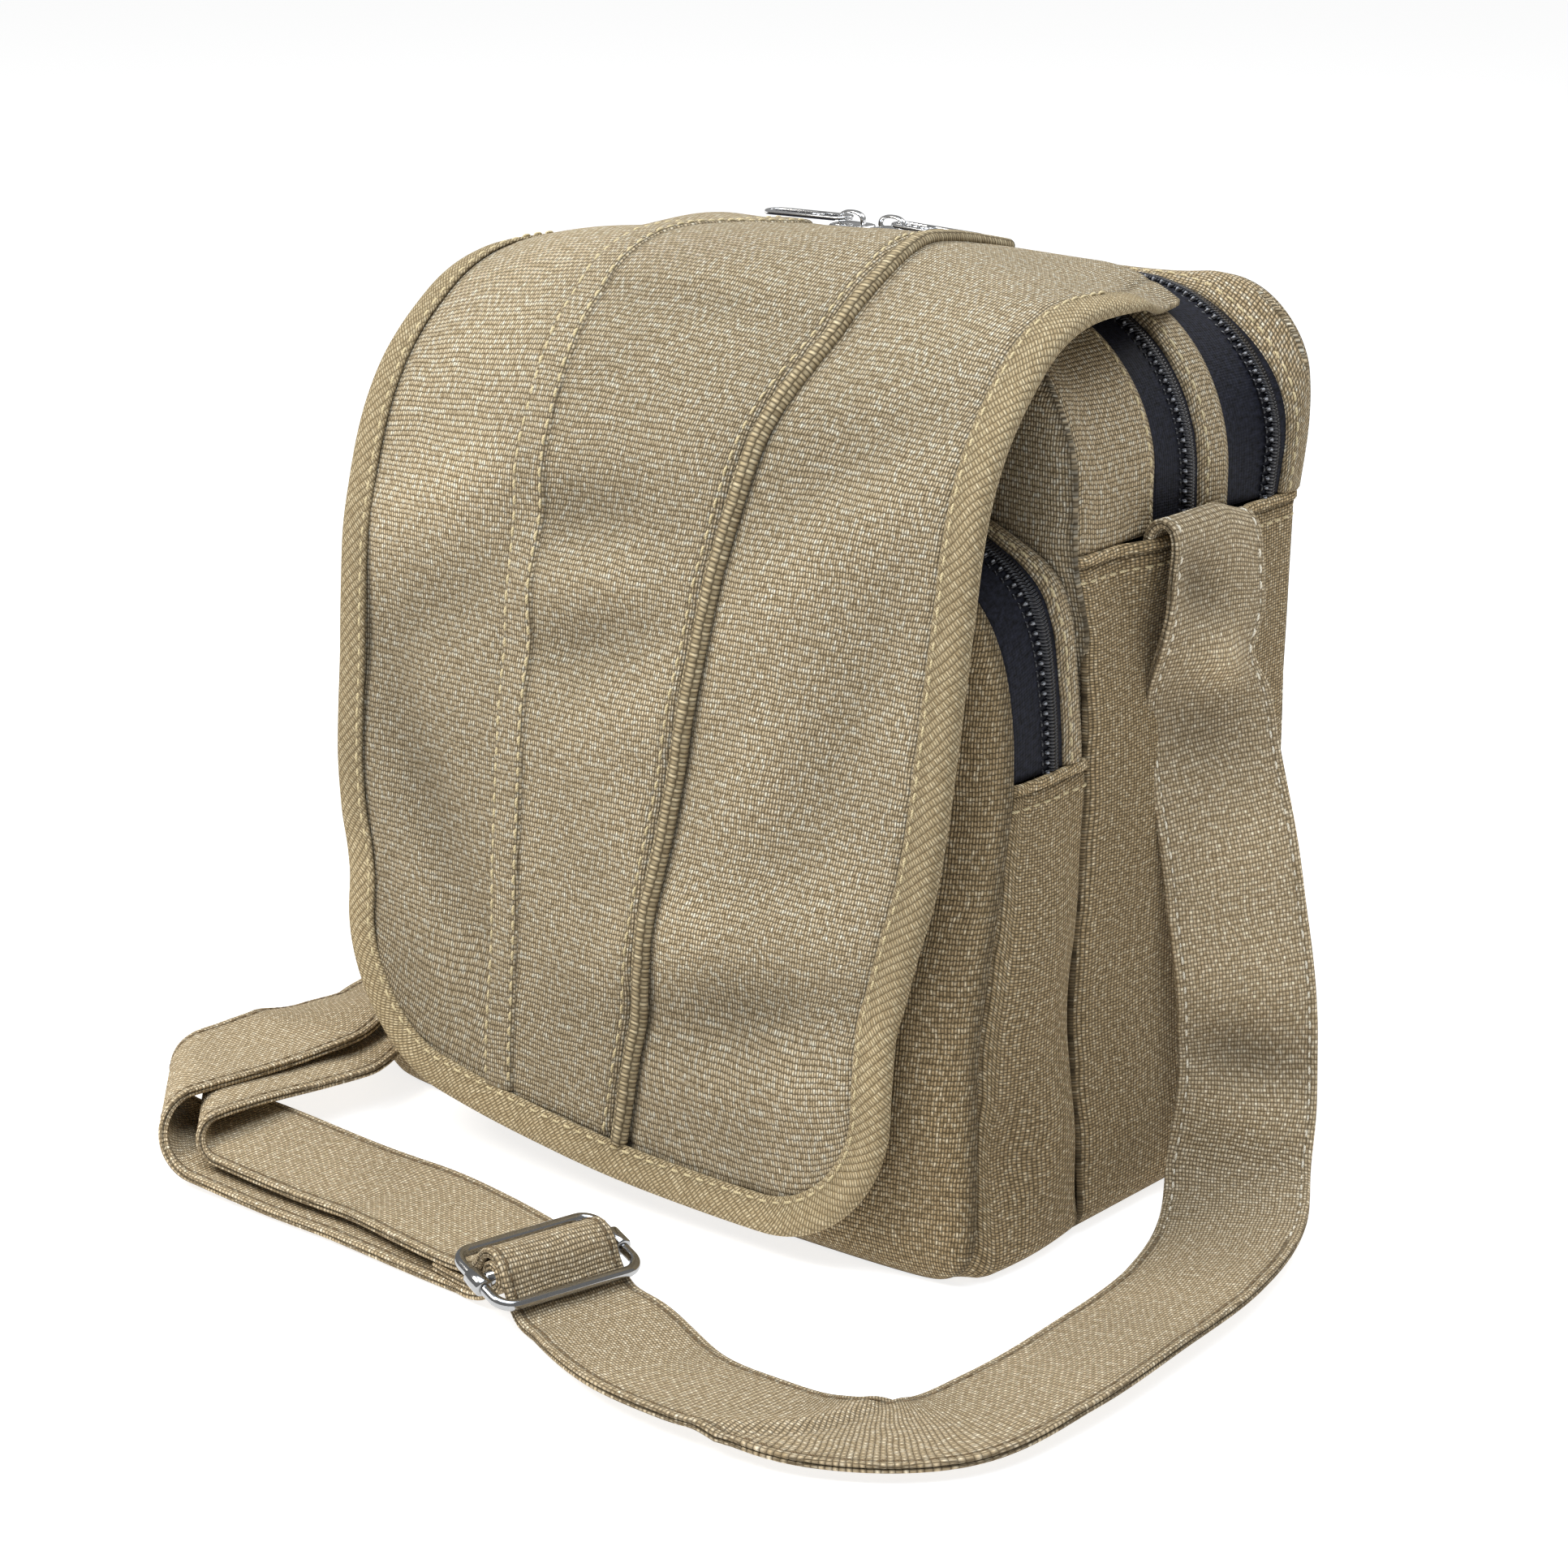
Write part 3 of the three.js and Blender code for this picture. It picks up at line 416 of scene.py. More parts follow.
def yarns(tree, cell, turn=0.0, lead=1):
    """A plain weave: place on the cloth, lumps and how pale each is. Lead 1 raises the yarns along."""
    place = node(tree, "ShaderNodeAttribute", attribute_name="cloth").outputs["Vector"]
    wander = node(tree, "ShaderNodeTexNoise", {"Vector": place, "Scale": WANDER_SCALE, "Detail": 1.0})
    aside = dimmed(tree, vectors(tree, "SUBTRACT", wander.outputs["Color"], (0.5, 0.5, 0.5)), WANDER)
    moved = vectors(tree, "ADD", place, aside)
    if turn:
        moved = node(tree, "ShaderNodeMapping", {"Vector": moved, "Rotation": (0, 0, turn)}).outputs[0]
    per_metre = (1 / (cell[0] * MM), 1 / (cell[1] * MM), 1)
    count = node(tree, "ShaderNodeMapping", {"Vector": moved, "Scale": per_metre}).outputs[0]
    split = node(tree, "ShaderNodeSeparateXYZ", {0: count})
    both = [maths(tree, "SINE", maths(tree, "MULTIPLY", split.outputs[k], math.pi)) for k in (0, 1)]
    on_top = maths(tree, "GREATER_THAN", maths(tree, "MULTIPLY", *both), 0.0)
    high = [maths(tree, "ABSOLUTE", wave) for wave in both]
    narrow = [maths(tree, "POWER", value, NARROW) for value in high]
    broad = [maths(tree, "POWER", value, BROAD) for value in high]
    along = maths(tree, "MULTIPLY", narrow[0], broad[1])
    across = maths(tree, "MULTIPLY", narrow[1], broad[0])
    if lead > 0:
        across = maths(tree, "MULTIPLY", across, LOW_YARN)
    else:
        along = maths(tree, "MULTIPLY", along, LOW_YARN)
    lump = node(tree, "ShaderNodeMix", {0: on_top, 2: across, 3: along}).outputs[0]
    return place, lump, speckle(tree, SLUB_SCALE, 2.0, Vector=count)


def canvas_finish(name, cell, groove_shade, dull, main, light, turn=0.0, lead=1):
    """Woven canvas: painted shade between the yarns, pale on the lumps, with broad patches of painted light
    and shade.
    """
    material, tree, shader = finish(name)
    place, lump, pale = yarns(tree, cell, turn, lead)
    yarn = ramp(tree, pale, (0.3, dull), (0.5, main), (0.7, light))
    colour = blend(tree, lump, (*groove_shade, 1), yarn)
    shade_patch = speckle(tree, SHADE_PATCH_SCALE, 3.0, Vector=place)
    colour = dimmed(tree, colour, grey(tree, shade_patch, *SHADE_PATCHES))
    painted_light = node(tree, "ShaderNodeAttribute", attribute_name="painted_light").outputs["Fac"]
    height = maths(tree, "ADD", lump, maths(tree, "MULTIPLY", pale, SLUB_HEIGHT))
    feed(tree, shader, {"Base Color": dimmed(tree, colour, painted_light), **CANVAS_LOOK})
    feed(tree, shader, {"Normal": relief(tree, height, 1.0, YARN_RELIEF)})
    return material


def palette(groove_shade, dull, main, light):
    """Yarn colours: painted shade between the yarns, then on dull lumps, on most lumps and on pale ones."""
    return dict(groove_shade=groove_shade, dull=dull, main=main, light=light)


# The sides and the pocket front get a darker, warmer copy of the canvas colours: painted shade. The bands get
# a warmer copy of them: painted warm shade.
GROOVE_SHADE = (0.06, 0.042, 0.02)
TAN = palette((0.065, 0.045, 0.022), (0.44, 0.34, 0.202), (0.725, 0.589, 0.388), (1.0, 0.95, 0.78))
BAND_SHADE = palette(GROOVE_SHADE, (0.43, 0.324, 0.183), (0.715, 0.55, 0.335), (1.0, 0.92, 0.72))
SHADE = palette((0.05, 0.034, 0.015), (0.355, 0.254, 0.13), (0.595, 0.432, 0.232), (1.0, 0.84, 0.57))
STRAP = palette((0.12, 0.083, 0.043), (0.455, 0.347, 0.205), (0.65, 0.519, 0.335), (0.98, 0.86, 0.64))
EDGE = palette((0.17, 0.122, 0.06), (0.4, 0.31, 0.18), (0.54, 0.435, 0.265), (0.72, 0.61, 0.4))
canvas = canvas_finish("canvas", (0.82, 1.45), **TAN)
shaded_band_canvas = canvas_finish("shaded_band_canvas", (1.3, 0.85), lead=-1, **BAND_SHADE)
shaded_canvas = canvas_finish("shaded_canvas", (0.85, 1.4), **SHADE)
shaded_side_canvas = canvas_finish("shaded_side_canvas", (0.85, 1.3), lead=-1, **SHADE)
webbing = canvas_finish("webbing", (0.9, 1.25), lead=-1, **STRAP)
edging = canvas_finish("edging", (0.85, 2.0), turn=0.8, **EDGE)
piping = canvas_finish("piping", (3.0, 1.3), lead=-1, **{**EDGE, "groove_shade": GROOVE_SHADE})
print("canvas finishes:", canvas.name, shaded_side_canvas.name, webbing.name, edging.name, piping.name)

# %% [markdown]
# The zippers are black: a smooth tape with a hint of navy, and nylon coils with a satin shine, with pale
# beads on the coil heads as painted glints. The wire parts are polished chrome, with faint smears so that
# they do not look like mirrors; the darker chrome is a painted reflection of dark surroundings. Thread is
# twisted cotton.

# %% Other finishes
PLY_TURN, PLY_WIDTH = 0.9, 0.0006


def tape_finish():
    """Smooth black tape with a hint of navy."""
    material, tree, shader = finish("zip_tape")
    _, lump, pale = yarns(tree, (0.8, 1.0))
    black = ramp(tree, pale, (0.3, (0.001, 0.0011, 0.0028)), (0.7, (0.013, 0.0142, 0.024)))
    feed(tree, shader, {"Base Color": black, "Normal": relief(tree, lump, 0.6, 0.0002)})
    feed(tree, shader, {"Roughness": 0.65, "Specular IOR Level": 0.18})
    return material


def speckled(name, scale, detail, *stops):
    """A finish whose colour wanders between stops: itself, its nodes, its shader and what wanders."""
    material, tree, shader = finish(name)
    spot = speckle(tree, scale, detail)
    feed(tree, shader, {"Base Color": ramp(tree, spot, *stops)})
    return material, tree, shader, spot


def coil_finish():
    """Satin black nylon."""
    stops = (0.3, (0.005, 0.005, 0.007)), (0.7, (0.013, 0.013, 0.018))
    material, tree, shader, spot = speckled("zip_coil", 400.0, 2.0, *stops)
    feed(tree, shader, {"Roughness": grey(tree, spot, 0.16, 0.34)})
    return material


def painted_glint_finish():
    """Pale glossy grey for the heads of a coil: painted glints."""
    stops = (0.35, (0.1, 0.105, 0.12)), (0.65, (0.42, 0.43, 0.46))
    material, tree, shader, _ = speckled("zip_painted_glint", 300.0, 2.0, *stops)
    feed(tree, shader, {"Roughness": 0.22})
    return material


def chrome_finish(name, low, high):
    """Polished metal with faint smears."""
    material, tree, shader, smear = speckled(name, 160.0, 4.0, (0.35, (low,) * 3), (0.65, (high,) * 3))
    feed(tree, shader, {"Roughness": grey(tree, smear, 0.06, 0.2), "Metallic": 1.0})
    return material


def thread_finish(name, dark, light):
    """Twisted thread: slanting plies, darker between them."""
    material, tree, shader = finish(name)
    place = node(tree, "ShaderNodeAttribute", attribute_name="cloth").outputs["Vector"]
    slanted = node(tree, "ShaderNodeMapping", {"Vector": place, "Rotation": (0, 0, PLY_TURN)}).outputs[0]
    across = node(tree, "ShaderNodeSeparateXYZ", {0: slanted}).outputs[0]
    ply = maths(tree, "SINE", maths(tree, "MULTIPLY", across, 2 * math.pi / PLY_WIDTH))
    ply = maths(tree, "ADD", maths(tree, "MULTIPLY", ply, 0.5), 0.5)
    feed(tree, shader, {"Base Color": ramp(tree, ply, (0, dark), (1, light)), "Roughness": 0.75})
    feed(tree, shader, {"Normal": relief(tree, ply, 0.5, 0.0001)})
    return material


zip_tape = tape_finish()
zip_coil = coil_finish()
zip_painted_glint = painted_glint_finish()
# This chrome is painted darker than the bright chrome: a painted reflection of dark surroundings
chrome = chrome_finish("chrome", 0.34, 0.46)
bright_chrome = chrome_finish("bright_chrome", 0.68, 0.86)
tan_thread = thread_finish("tan_thread", (0.42, 0.34, 0.18), (0.68, 0.57, 0.35))
pale_thread = thread_finish("pale_thread", (0.62, 0.55, 0.42), (0.92, 0.85, 0.7))
# Dark brown thread: painted shade, for the strap's seam where it lies along the floor
shaded_strap_thread = thread_finish("shaded_strap_thread", (0.09, 0.055, 0.022), (0.2, 0.135, 0.065))
print("other finishes ready")

# %% [markdown]
# Thread is what makes sewn cloth look sewn. One stitch is a short fat bead of thread whose ends dive into
# the cloth. A whole seam is that bead set down again and again along a line, all in one mesh.

# %% Stitches
# A stitch's rings: place along it as a share of its length, and its fatness there
BEAD_RINGS = [(-0.5, 0.0), (-0.44, 0.62), (-0.28, 0.95), (0, 1.0), (0.28, 0.95), (0.44, 0.62), (0.5, 0.0)]
BEAD_DIVE = 1.1
PITCH, FINE_PITCH = 4.4, 4.2


def bead(length, radius, sides=6):
    """One stitch along x, standing on z = 0: its points, faces and flat places."""
    verts, flat, faces = [], [], []
    for share, fat in BEAD_RINGS:
        sink = -BEAD_DIVE * radius * abs(2 * share) ** 3
        for k in range(sides):
            angle = 2 * math.pi * k / sides
            over, up = fat * radius * math.cos(angle), fat * radius * math.sin(angle)
            verts.append((share * length, over, up + sink))
            flat.append((radius * angle, share * length))
    for i in range(len(BEAD_RINGS) - 1):
        for k in range(sides):
            a, b = i * sides + k, i * sides + (k + 1) % sides
            faces.append((a, b, b + sides, a + sides))
    return np.array(verts), np.array(faces), np.array(flat)


def stitched(line, up, pitch, share=0.72, radius=0.42, lift=0.1, uneven=0.12):
    """Places for the stitches along a line on cloth that faces up: middle, along, up, length and radius."""
    length = run_along(line)[-1]
    count = max(2, int(round(length / pitch)))
    at, n = spread(line, 2 * count + 1, up)
    along = unit(at[2::2] - at[:-2:2])
    n = unit(n[1::2])
    n = unit(n - along * np.sum(n * along, 1, keepdims=True))
    sunk = uneven * np.sin(3.7 * np.arange(count) ** 1.6)[:, None]
    return at[1::2] + n * (lift + sunk), along, n, share * length / count, radius


def sew(name, runs, material, **more):
    """All the stitches of some seams as one piece."""
    verts, faces, flats, start = [], [], [], 0
    for at, along, n, length, radius in runs:
        bead_verts, bead_faces, bead_flat = bead(length, radius)
        ways = np.stack([along, np.cross(n, along), n], 1)
        placed = at[:, None] + np.einsum("pk,skc->spc", bead_verts, ways)
        verts.append(placed.reshape(-1, 3))
        offsets = start + np.arange(len(at)) * len(bead_verts)
        faces.append((bead_faces[None] + offsets[:, None, None]).reshape(-1, 4))
        flats.append(np.tile(bead_flat, (len(at), 1)))
        start += len(at) * len(bead_verts)
    made = piece(name, np.concatenate(verts), np.concatenate(faces), material, np.concatenate(flats), **more)
    print(name, "has", sum(len(run[0]) for run in runs), "stitches")
    return made


print("a stitch has", len(bead(3, 0.4)[0]), "points")

# %% [markdown]
# The body is a soft box: one long band for the sides and the bottom, narrow bands over the top with the
# zippers between them, and a front and a back panel. Canvas this heavy stands by itself but never lies
# quite flat, so every wall gets low waves, and it dips into each seam.

# %% Body outlines
HALF_WIDTH, HEIGHT, HEM_Z = 113.0, 250.0, 190.0
SEAM_FRONT, SEAM_BACK = 1.9, 104.4
FRONT_SEAM_RADIUS, BACK_SEAM_RADIUS, BAND_RADIUS = 42.0, 27.0, 48.0
BACK_SAG, SIDE_BULGE, SIT_RADIUS, SIT_SPREAD = 6.0, 3.0, 8.0, 5.0
FRONT_BAND, FRONT_ZIP, MIDDLE_BAND = (2.3, 37.0), (37.3, 56.0), (56.3, 70.5)
REAR_ZIP, REAR_BAND = (70.8, 93.5), (93.8, SEAM_BACK)


def waves(points, size, height, seed):
    """Low waves over cloth: how far each point moves."""
    flat = np.asarray(points).reshape(-1, 3) / size + seed
    return np.array([noise.noise(p) for p in flat]).reshape(points.shape[:-1]) * height


def top_sag(x, y):
    """The top sinks towards the back, least at the right-hand corner."""
    across = np.where(x > 0, np.maximum(0, 1 - (x / 85) ** 2), smooth((HALF_WIDTH + x) / 50))
    return BACK_SAG * smooth((y - 60) / 45) * across


def seam_shift(z):
    """The full pocket pushes the body's front seam back; higher up the full body pushes it forward."""
    return 6.4 * bump((z - 126) / 40) - 4.5 * smooth((z - 166) / 26) * smooth((248 - z) / 20)


def back_pinch(y, z):
    """The back edge is drawn in a little under the hem."""
    return 1.2 * bump((z - 166) / 24) * smooth((y - 78) / 24)


def near_front(y):
    return 1 - smooth((y - 2.3) / 42)


def top_outline(y, count=181):
    """The outline of the top at one depth, from the right hem over to the left hem."""
    seam = FRONT_SEAM_RADIUS if y < DEPTH / 2 else BACK_SEAM_RADIUS
    share = smooth(min(y / 16, (DEPTH - y) / 11.5))
    radius = seam + (BAND_RADIUS - seam) * share
    angle = np.linspace(0, math.pi / 2, 48)
    arc = np.stack([HALF_WIDTH - radius + radius * np.cos(angle), 0 * angle + y,
                    HEIGHT - radius + radius * np.sin(angle) + GAP], -1)
    hem, middle = (HALF_WIDTH, y, HEM_Z + GAP), (0, y, HEIGHT + GAP)
    line = spread(both_sides(np.concatenate([[hem], arc, [middle]])), count)
    line[:, 2] -= top_sag(line[:, 0], y)
    return line


def shoulder(grid):
    """The back corner sags: it bulges at the side and drops at the top."""
    x, y, z = grid[..., 0], grid[..., 1], grid[..., 2]
    back = smooth((y - 72) / 26)
    out = np.sign(x) * 4.6 * bump((z - 214) / 26) * smooth((np.abs(x) - 70) / 40) * back
    down = -1.6 * bump((np.abs(x) - 84) / 20) * smooth((z - 215) / 25) * back
    return np.stack([out, 0 * x, down], -1)


def band_grid(span, step=1.6, count=181):
    """A band over the top: rows from front to back, points from the right hem to the left hem."""
    rows = max(3, int(round((span[1] - span[0]) / step)) + 1)
    grid = np.stack([top_outline(y, count) for y in np.linspace(*span, rows)])
    return grid + shoulder(grid)


def across_depth(grid):
    """The way a band faces, kept square to the depth."""
    return unit(facing(grid) * (1, 0, 1))


def low_outline(hem, radius, floor, half=HALF_WIDTH, step=3.0):
    """Sides and bottom, from the right hem down and round to the left hem."""
    angle = np.linspace(0, math.pi / 2, 16)
    drop = radius + (floor - radius) * np.sin(angle)
    arc = np.stack([half - radius * (1 - np.cos(angle)), 0 * angle, drop], -1)
    line = both_sides(np.concatenate([[(half, 0, hem)], arc, [(0, 0, floor)]]))
    return spread(line, int(run_along(line)[-1] / step))


print("top outline is", len(top_outline(20)), "points")

# %% Sides and bottom
HEM_STEPS = [0, 0.5, 1.0, 1.5, 2.0, 2.5, 3.0, 3.5, 4.2, 5.0, 6.0, 7.2, 8.6, 10.2, 12.0]


def finer_ends(line, steps):
    """A route with close steps at both of its ends."""
    run = run_along(line)
    clear = steps[-1] + 1.5
    inner = run[(run > clear) & (run < run[-1] - clear)]
    return walked(line, run, np.concatenate([steps, inner, run[-1] - np.array(steps[::-1])]))


def sitting(z):
    """How far cloth near the floor spreads, from 1 low down to 0."""
    return smooth((70 - z) / 66)


def hem_lip(z, top):
    """A rolled hem: how far it stands out, and its painted light: a painted highlight along the lip and a
    painted shade line under it.
    """
    below = top - z
    out = 1.1 * smooth((3.1 - below) / 0.5) - 0.5 * bump((below - 3.4) / 0.5) - 0.5 * bump(below / 0.6)
    return out, 0.22 * smooth((3.1 - below) / 0.4) - 0.5 * bump((below - 3.45) / 0.4)


def upright_way(grid):
    """The way a side band faces, kept nearly square to the depth."""
    return unit(facing(grid) * (1, 0.001, 1))


low = finer_ends(low_outline(HEM_Z, SIT_RADIUS, 0.0), HEM_STEPS)[::-1]
depths = np.concatenate([np.linspace(SEAM_FRONT, 8, 8), np.linspace(10, 95, 40),
                         np.linspace(97, SEAM_BACK, 7)])
side_grid = np.repeat(low[None], len(depths), 0)
side_grid[..., 1] = depths[:, None]
side_x = side_grid[..., 0]
side_y, side_z = side_grid[..., 1].copy(), side_grid[..., 2].copy()
way_out = np.sign(side_x)
upright = way_out * smooth(side_z / 30)
side_x += upright * SIDE_BULGE * np.sin(math.pi * side_y / DEPTH) * np.sin(math.pi * side_z / HEM_Z)
side_x += way_out * SIT_SPREAD * sitting(side_z) * smooth(np.abs(side_x) / 100)
side_x += upright * waves(side_grid, 46, 1.8, 3.1)
side_grid[..., 1] += seam_shift(side_z) * near_front(side_y)
to_seam = np.minimum(side_y - SEAM_FRONT, SEAM_BACK - side_y)
side_x -= way_out * 1.5 * bump(to_seam / 2.2) * smooth(side_z / 25)
side_x -= upright * back_pinch(side_y, side_z)
# The strap's tail is tucked behind the right hem and pushes it out.
lip_out, lip_painted_light = hem_lip(side_z, HEM_Z)
tucked = smooth((side_y - 18) / 14) * smooth((80 - side_y) / 12) * (side_x > 0)
side_x += upright * (lip_out + 4.2 * tucked * smooth((side_z - 160) / 29))
# Painted shade: darker into each seam and near the floor, plus the hem's painted highlight and shade line
side_painted_light = 1 - 0.42 * bump(to_seam / 0.9) + lip_painted_light - 0.25 * bump(side_z / 5)
cloth("side_band", side_grid, CANVAS, shaded_side_canvas, side_painted_light, normals=upright_way(side_grid),
      nodes=["side_band"], slot="canvas")
print("sides and bottom:", side_grid.shape)

# %% Bands over the top
body_runs = []


def top_band(name, span, sunk_front=False, sunk_back=False):
    """One canvas band over the top, rolled down where a zipper or a seam takes its edge."""
    grid = band_grid(span)
    n = across_depth(grid)
    y = grid[..., 1].copy()
    to_front, to_back = y - span[0], span[1] - y
    drop = 1.3 * bump(to_front / 2.0) + 1.3 * bump(to_back / 2.0)
    grid = grid - n * (drop + 0.3 - waves(grid, 34, 0.9, 7.7))[..., None]
    grid[..., 1] += seam_shift(grid[..., 2]) * near_front(y)
    # Painted shade where the band dips into its seams
    painted_light = 1 - 0.3 * bump(to_front / 1.0) - 0.3 * bump(to_back / 1.0)
    cloth(name, grid, CANVAS, shaded_band_canvas, painted_light, nodes=[name], slot="canvas")
    for wanted, row in ((sunk_front, 2), (sunk_back, -3)):
        if wanted:
            body_runs.append(stitched(grid[row], n[row], FINE_PITCH, radius=0.38))


top_band("front_top_band", FRONT_BAND, sunk_back=True)
top_band("middle_top_band", MIDDLE_BAND, sunk_front=True)
top_band("rear_top_band", REAR_BAND, sunk_front=True)
print("three bands over the top")

# %% Front and back panels
def panel_grid(y, swell, radius, step=3.0):
    """A body panel in rows of height; its corners are round."""
    z = np.concatenate([SIT_RADIUS * (1 - np.cos(np.linspace(0, math.pi / 2, 12)))[:-1],
                        np.arange(SIT_RADIUS, HEIGHT - radius, step),
                        HEIGHT - radius * (1 - np.sin(np.linspace(0, math.pi / 2, 22)))])
    low_share = np.clip(1 - z / SIT_RADIUS, 0, 1)
    high_share = np.clip((z - HEIGHT + radius) / radius, 0, 1)
    half = HALF_WIDTH - SIT_RADIUS * (1 - np.sqrt(1 - low_share**2))
    half = half - radius * (1 - np.sqrt(1 - high_share**2))
    u = np.sin(np.linspace(-math.pi / 2, math.pi / 2, 81))
    x = u[None] * half[:, None]
    zz = np.repeat(z[:, None], len(u), 1)
    depth = y + swell * (1 - u[None] ** 2) * np.sin(math.pi * zz / HEIGHT)
    grid = np.stack([x, depth, zz - top_sag(x, np.full_like(x, y)) * smooth((zz - 150) / 100)], -1)
    edge = np.minimum(half[:, None] - np.abs(x), np.minimum(zz, HEIGHT - zz))
    return grid, edge


front_grid, front_edge = panel_grid(0.0, 0.0, FRONT_SEAM_RADIUS)
front_grid = front_grid[:, ::-1]
front_edge = front_edge[:, ::-1]
front_grid[..., 1] += 1.4 * bump(front_edge / 3.0)
front_grid[..., 1] += seam_shift(front_grid[..., 2]) * smooth((np.abs(front_grid[..., 0]) - 55) / 50)
front_grid[..., 0] *= 1 + 0.04 * sitting(front_grid[..., 2]) - 0.03 * smooth((168 - front_grid[..., 2]) / 15)
# Painted shade along the panel's seams
cloth("front_panel", front_grid, CANVAS, canvas, 1 - 0.45 * bump(front_edge / 1.8),
      nodes=["front_panel"], slot="canvas")

back_grid, back_edge = panel_grid(DEPTH, 5.0, BACK_SEAM_RADIUS)
slack = waves(back_grid, 60, 2.2, 11.3) + 1.2 * waves(back_grid, 26, 0.7, 5.3)
back_grid[..., 1] += slack * smooth(back_edge / 12)
back_grid[..., 1] -= 1.6 * bump(back_edge / 4.0)
back_grid[..., 0] *= 0.987 + 0.04 * sitting(back_grid[..., 2])
back_grid[..., 2] -= 1.6 * smooth((back_grid[..., 2] - 150) / 100)
back_grid += shoulder(back_grid)
back_grid[..., 0] -= (back_grid[..., 0] / HALF_WIDTH) ** 5 * back_pinch(back_grid[..., 1], back_grid[..., 2])
# Painted shade along the panel's seams
cloth("back_panel", back_grid, CANVAS, canvas, 1 - 0.12 * bump(back_edge / 1.8),
      nodes=["back_panel"], slot="canvas")
for column in (6, -7):
    seam = back_grid[4:-6, column]
    body_runs.append(stitched(seam, np.tile((0.0, 1.0, 0.0), (len(seam), 1)), PITCH, 0.7, 0.4))
print("panels:", front_grid.shape, back_grid.shape)

# %% [markdown]
# A coil zipper is a spring sewn to each edge of a tape. Seen from outside it is a band of fine ridges with
# a row of glossy heads along one side, where the loops turn, and pale beads on the heads as painted
# glints. Each ridge and head is the same bead as a stitch, only set across the line, so the stitch maker
# also makes the zippers.

# %% Zippers over the top
TAPE_THICK, TAPE_SINK, CHAIN_WIDTH, COIL_PITCH, HEAD_PITCH = 0.8, 1.2, 8.5, 0.95, 2.7
TOP_TAPE_DROP, POCKET_TAPE_DROP = TAPE_SINK + 0.6, TAPE_SINK + 0.4


def coil(name, line, n, across, **more):
    """A zipper chain along a line on a tape that faces n; across points away from the heads."""
    length = run_along(line)[-1]
    at, up, side = spread(line, int(length / COIL_PITCH), n, across)
    up, side = unit(up), unit(side)
    along = unit(np.gradient(at, axis=0))
    runs = []
    for sign, reach, lift in ((-1, 0.75, 0.55), (1, 2.3, 0.3)):
        slant = unit(side + along * 0.25 * sign)
        runs.append((at + side * reach + up * lift, slant, up, 3.4, 0.52))
    at, up, side = spread(line, int(length / HEAD_PITCH), n, across)
    up, side = unit(up), unit(side)
    heads = (at - side * 1.55 + up * 0.5, side, up, 2.1, 0.8)
    runs.append((at - side * 3.0 + up * 0.05, unit(np.gradient(at, axis=0)), up, 2.3, 0.42))
    # Painted glints: pale beads on the coil heads
    painted_glints = (at - side * 1.9 + up * 1.12, side, up, 0.95, 0.36)
    sew(name + "_glints", [painted_glints], zip_painted_glint, slot="zip_teeth")
    return sew(name, [*runs, heads], zip_coil, **more)


def top_zipper(name, span):
    """The sunk tape and the chain of one zipper over the top."""
    grid = band_grid((span[0] - 1.5, span[1] + 1.0), 1.8)
    n = across_depth(grid)
    tape = grid - n * TOP_TAPE_DROP
    cloth(f"{name}_zip_tape", tape, TAPE_THICK, zip_tape, nodes=[f"{name}_zip_tape"], slot="zip_tape")
    middle = span[1] - GAP - CHAIN_WIDTH / 2 - 0.2
    line = top_outline(middle, 361)
    line = line + shoulder(line)
    up = unit(np.stack([np.gradient(line[:, 2]), 0 * line[:, 0], -np.gradient(line[:, 0])], -1))
    across = np.tile((0.0, 1.0, 0.0), (len(line), 1))
    coil(f"{name}_zip_chain", line - up * TOP_TAPE_DROP, up, across,
         nodes=[f"{name}_zip_chain"], slot="zip_teeth")


top_zipper("front", FRONT_ZIP)
top_zipper("rear", REAR_ZIP)

# %% [markdown]
# The front pocket is a second, shallower box sewn on the front: a band round its sides and bottom, an arch
# of canvas with its own zipper over the top, and a front that swells. Its foot is tucked back on the left.

# %% Pocket
POCKET_HEM_Z, POCKET_LIFT, POCKET_RADIUS, POCKET_ZIP_SHARE = 134.0, 0.3, 6.0, 0.27
# The arch where it meets the body, and along the pocket's front edge: half width, height
ARCH_REAR = [(113, 134), (113, 150), (113, 167), (112.8, 177), (111.5, 184), (107, 189.5), (99, 194),
             (87, 198.5), (66, 204), (42, 208.6), (20, 211.7), (0, 212.6)]
ARCH_FRONT = [(113, 134), (112.5, 150), (110, 165), (105.5, 176), (98, 185), (86, 193.5), (70, 200),
              (50, 204.5), (30, 207.5), (14, 208.7), (0, 209)]
# At each height: the depth of the pocket's front edge, and how far its front swells past it
POCKET_EDGE = [(0, -47), (12, -46), (46, -42.5), (72, -39.5), (95, -34.5), (116, -30), (134, -27.5),
               (212, -29)]
POCKET_SWELL = [(0, 3), (6, 8), (14, 11), (46, 15), (95, 18), (134, 19), (170, 14), (195, 5), (209, 1)]


def pocket_edge(z):
    return read(POCKET_EDGE, z)[..., 0]


def foot_tuck(x, z):
    return 14 * smooth((-x - 10) / 80) * smooth((80 - z) / 80)


def arch_line(table, count=161):
    return spread(through(both_sides([(x, 0, z) for x, z in table])), count)


